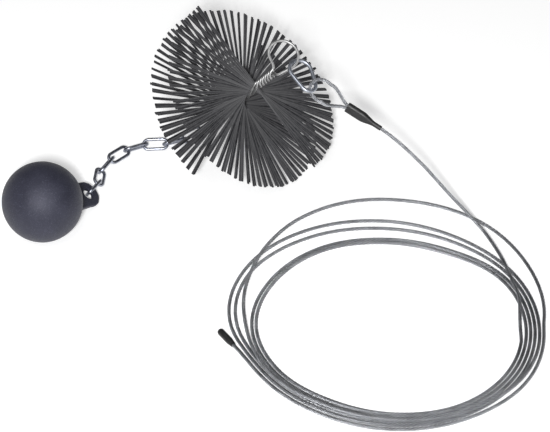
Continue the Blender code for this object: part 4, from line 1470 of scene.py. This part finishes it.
lowest_strip = 0.0001
sizes = {
    "Places": 64,
    "Strips": 3,
    "Low": bristles_low,
    "Depth": brush_depth,
    "Turn": math.radians(bristle_turn_deg),
    "Top Angle": math.radians(top_bristle_deg),
    "Diameter": brush_diameter,
    "Width": strip_width,
    "Thickness": strip_thickness,
    "Splay": math.radians(0.55),
    "Wander": math.radians(0.40),
    "Roll": math.radians(2.5),
    "Bend": 0.003,
    "Seed": 11,
}
strips = strip_tree.run("spring_steel_strips", blank(), sizes)
placed(strips, brush_place)
for v in strips.data.vertices:
    v.co.z = max(v.co.z, lowest_strip)
settle(strips, "brush", "brush_steel", "bristles_low", "bristles_middle", "bristles_high")

# %% [markdown]
# ## Snap hook
#
# The hook is bent from one wire: a wide end for the brush's eye, a narrow end for the rope, and a
# straight side that a sprung gate closes. Flat tangs at both ends of the wire sit in slots in the
# gate. The outline is two arcs and their common tangents, and the gate is cut as it is milled.

# %% Hook body
rivet_diameter = 0.0014
flank_length = (gate_head - gate_foot).length


def gate_frame(height):
    """X across the gate towards the outside, Y up along it."""
    return placement(gate_foot + height * gate_line, polar(1, -flank), gate_line)


def block(name, width, low, high, thickness):
    """A box across the gate's line, from a low to a high place on it."""
    place = gate_frame((low + high) / 2)
    x, y, z = width / 2, (high - low) / 2, thickness / 2
    corners = ((x, y), (-x, y), (-x, -y), (x, -y))
    rings = [[place @ Vector((*c, side)) for c in corners] for side in (-z, z)]
    return skin(name, rings, hook_zinc)


def hook_body():
    wide = arc(Vector((0, 0, 0)), wide_radius, -flank, math.pi + flank, 61)
    narrow_centre = Vector((0, narrow_middle, 0))
    narrow = arc(narrow_centre, narrow_radius, math.pi + flank, 2 * math.pi - flank, 45)
    nose_height = flank_length - nose_length
    nose = gate_foot + nose_height * gate_line
    hinge_end = hinge_height - tang_width / 2 - clearance - hinge_play
    foot = gate_foot + hinge_end * gate_line
    body = tube("hook_bow", [nose] + wide + narrow + [foot], hook_wire, hook_zinc, sides=28)
    tang_top = hinge_height + tang_width / 2
    tang_low = hinge_end - hook_wire / 2
    body = cut(body, block("tang", tang_width, tang_low, tang_top, tang_thickness), "UNION")
    nib_low = nose_height - nose_reach
    nib_top = nose_height + hook_wire / 2
    body = cut(body, block("nib", tang_width, nib_low, nib_top, tang_thickness), "UNION")
    pin = gate_frame(hinge_height)
    return cut(body, rod("pin_hole", rivet_diameter + 2 * clearance, hook_wire, pin, 24))


body = placed(hook_body(), hook_place)
settle(body, "hook", "zinc_hook", "hook_body")

# %% Gate, rivet and spring
gate_slot_depth = 0.0039
gate_bore = 0.0024
gate_bore_depth = 0.0062
rivet_head_diameter = 0.0026
rivet_head = 0.0005
spring_wire = 0.0003
spring_turns = 5
gate_low = hinge_height - tang_width / 2
gate_high = flank_length - nose_length - clearance


def hook_gate():
    """A round pin with a slot at each end, a hole for the rivet and a bore for the spring."""
    middle = (gate_low + gate_high) / 2
    stand = Matrix.Rotation(math.radians(-90), 4, "X")
    gate = rod("gate_pin", hook_wire, gate_high - gate_low, gate_frame(middle) @ stand, 32)
    wide = hook_wire * 2
    slot = tang_thickness + 2 * clearance
    for low, high in (
        (gate_low - hook_wire, gate_low + gate_slot_depth),
        (gate_high - nose_reach - clearance, gate_high + hook_wire),
    ):
        gate = cut(gate, block("slot", wide, low, high, slot))
    bore_low = gate_low + gate_slot_depth - tang_thickness
    bore_high = gate_low + gate_slot_depth + gate_bore_depth
    bore_place = gate_frame((bore_low + bore_high) / 2) @ stand
    gate = cut(gate, rod("bore", gate_bore, bore_high - bore_low, bore_place, 24))
    hole = rod("hole", rivet_diameter + 2 * clearance, wide, gate_frame(hinge_height), 24)
    return cut(gate, hole)


def rivet():
    """A shank with two domed heads."""
    half = hook_wire / 2 + clearance
    shank = rivet_diameter / 2
    head = rivet_head_diameter / 2
    dome = []
    for i in range(6):
        a = math.pi / 2 * i / 6
        dome.append((head * math.cos(a), half + rivet_head * math.sin(a)))
    upper = [(shank, half)] + dome + [(shank / 3, half + rivet_head)]
    profile = [(r, -h) for r, h in upper[::-1]] + upper
    origin = hook_place @ gate_frame(hinge_height).translation
    axis = (hook_place.to_3x3() @ Vector((0, 0, 1))).normalized()
    return turned("rivet", profile, origin, axis, hook_zinc, 24)


def gate_spring():
    """A small compression spring in the gate's bore, pressing on the tang."""
    low = tang_width / 2 + clearance + spring_wire
    bore_top = gate_low + gate_slot_depth + gate_bore_depth
    high = bore_top - hinge_height - clearance - spring_wire
    radius = gate_bore / 2 - clearance - spring_wire / 2
    points = []
    steps = spring_turns * 20
    for i in range(steps + 1):
        around = polar(radius, 2 * math.pi * i / 20)
        points.append(Vector((around.x, low + (high - low) * i / steps, around.y)))
    spring = tube("spring_coil", points, spring_wire, hook_zinc, sides=8)
    return placed(spring, hook_place @ gate_frame(hinge_height))


gate = placed(hook_gate(), hook_place)
for piece in (body, gate):
    piece.data.shade_smooth()
    piece.data.set_sharp_from_angle(angle=math.radians(35))
    paint(piece.data, hook_zinc)
settle(gate, "gate", "zinc_hook", "hook_gate")
settle(rivet(), "hook", "zinc_hook", "gate_rivet")
settle(gate_spring(), "gate", "zinc_hook", "gate_spring")
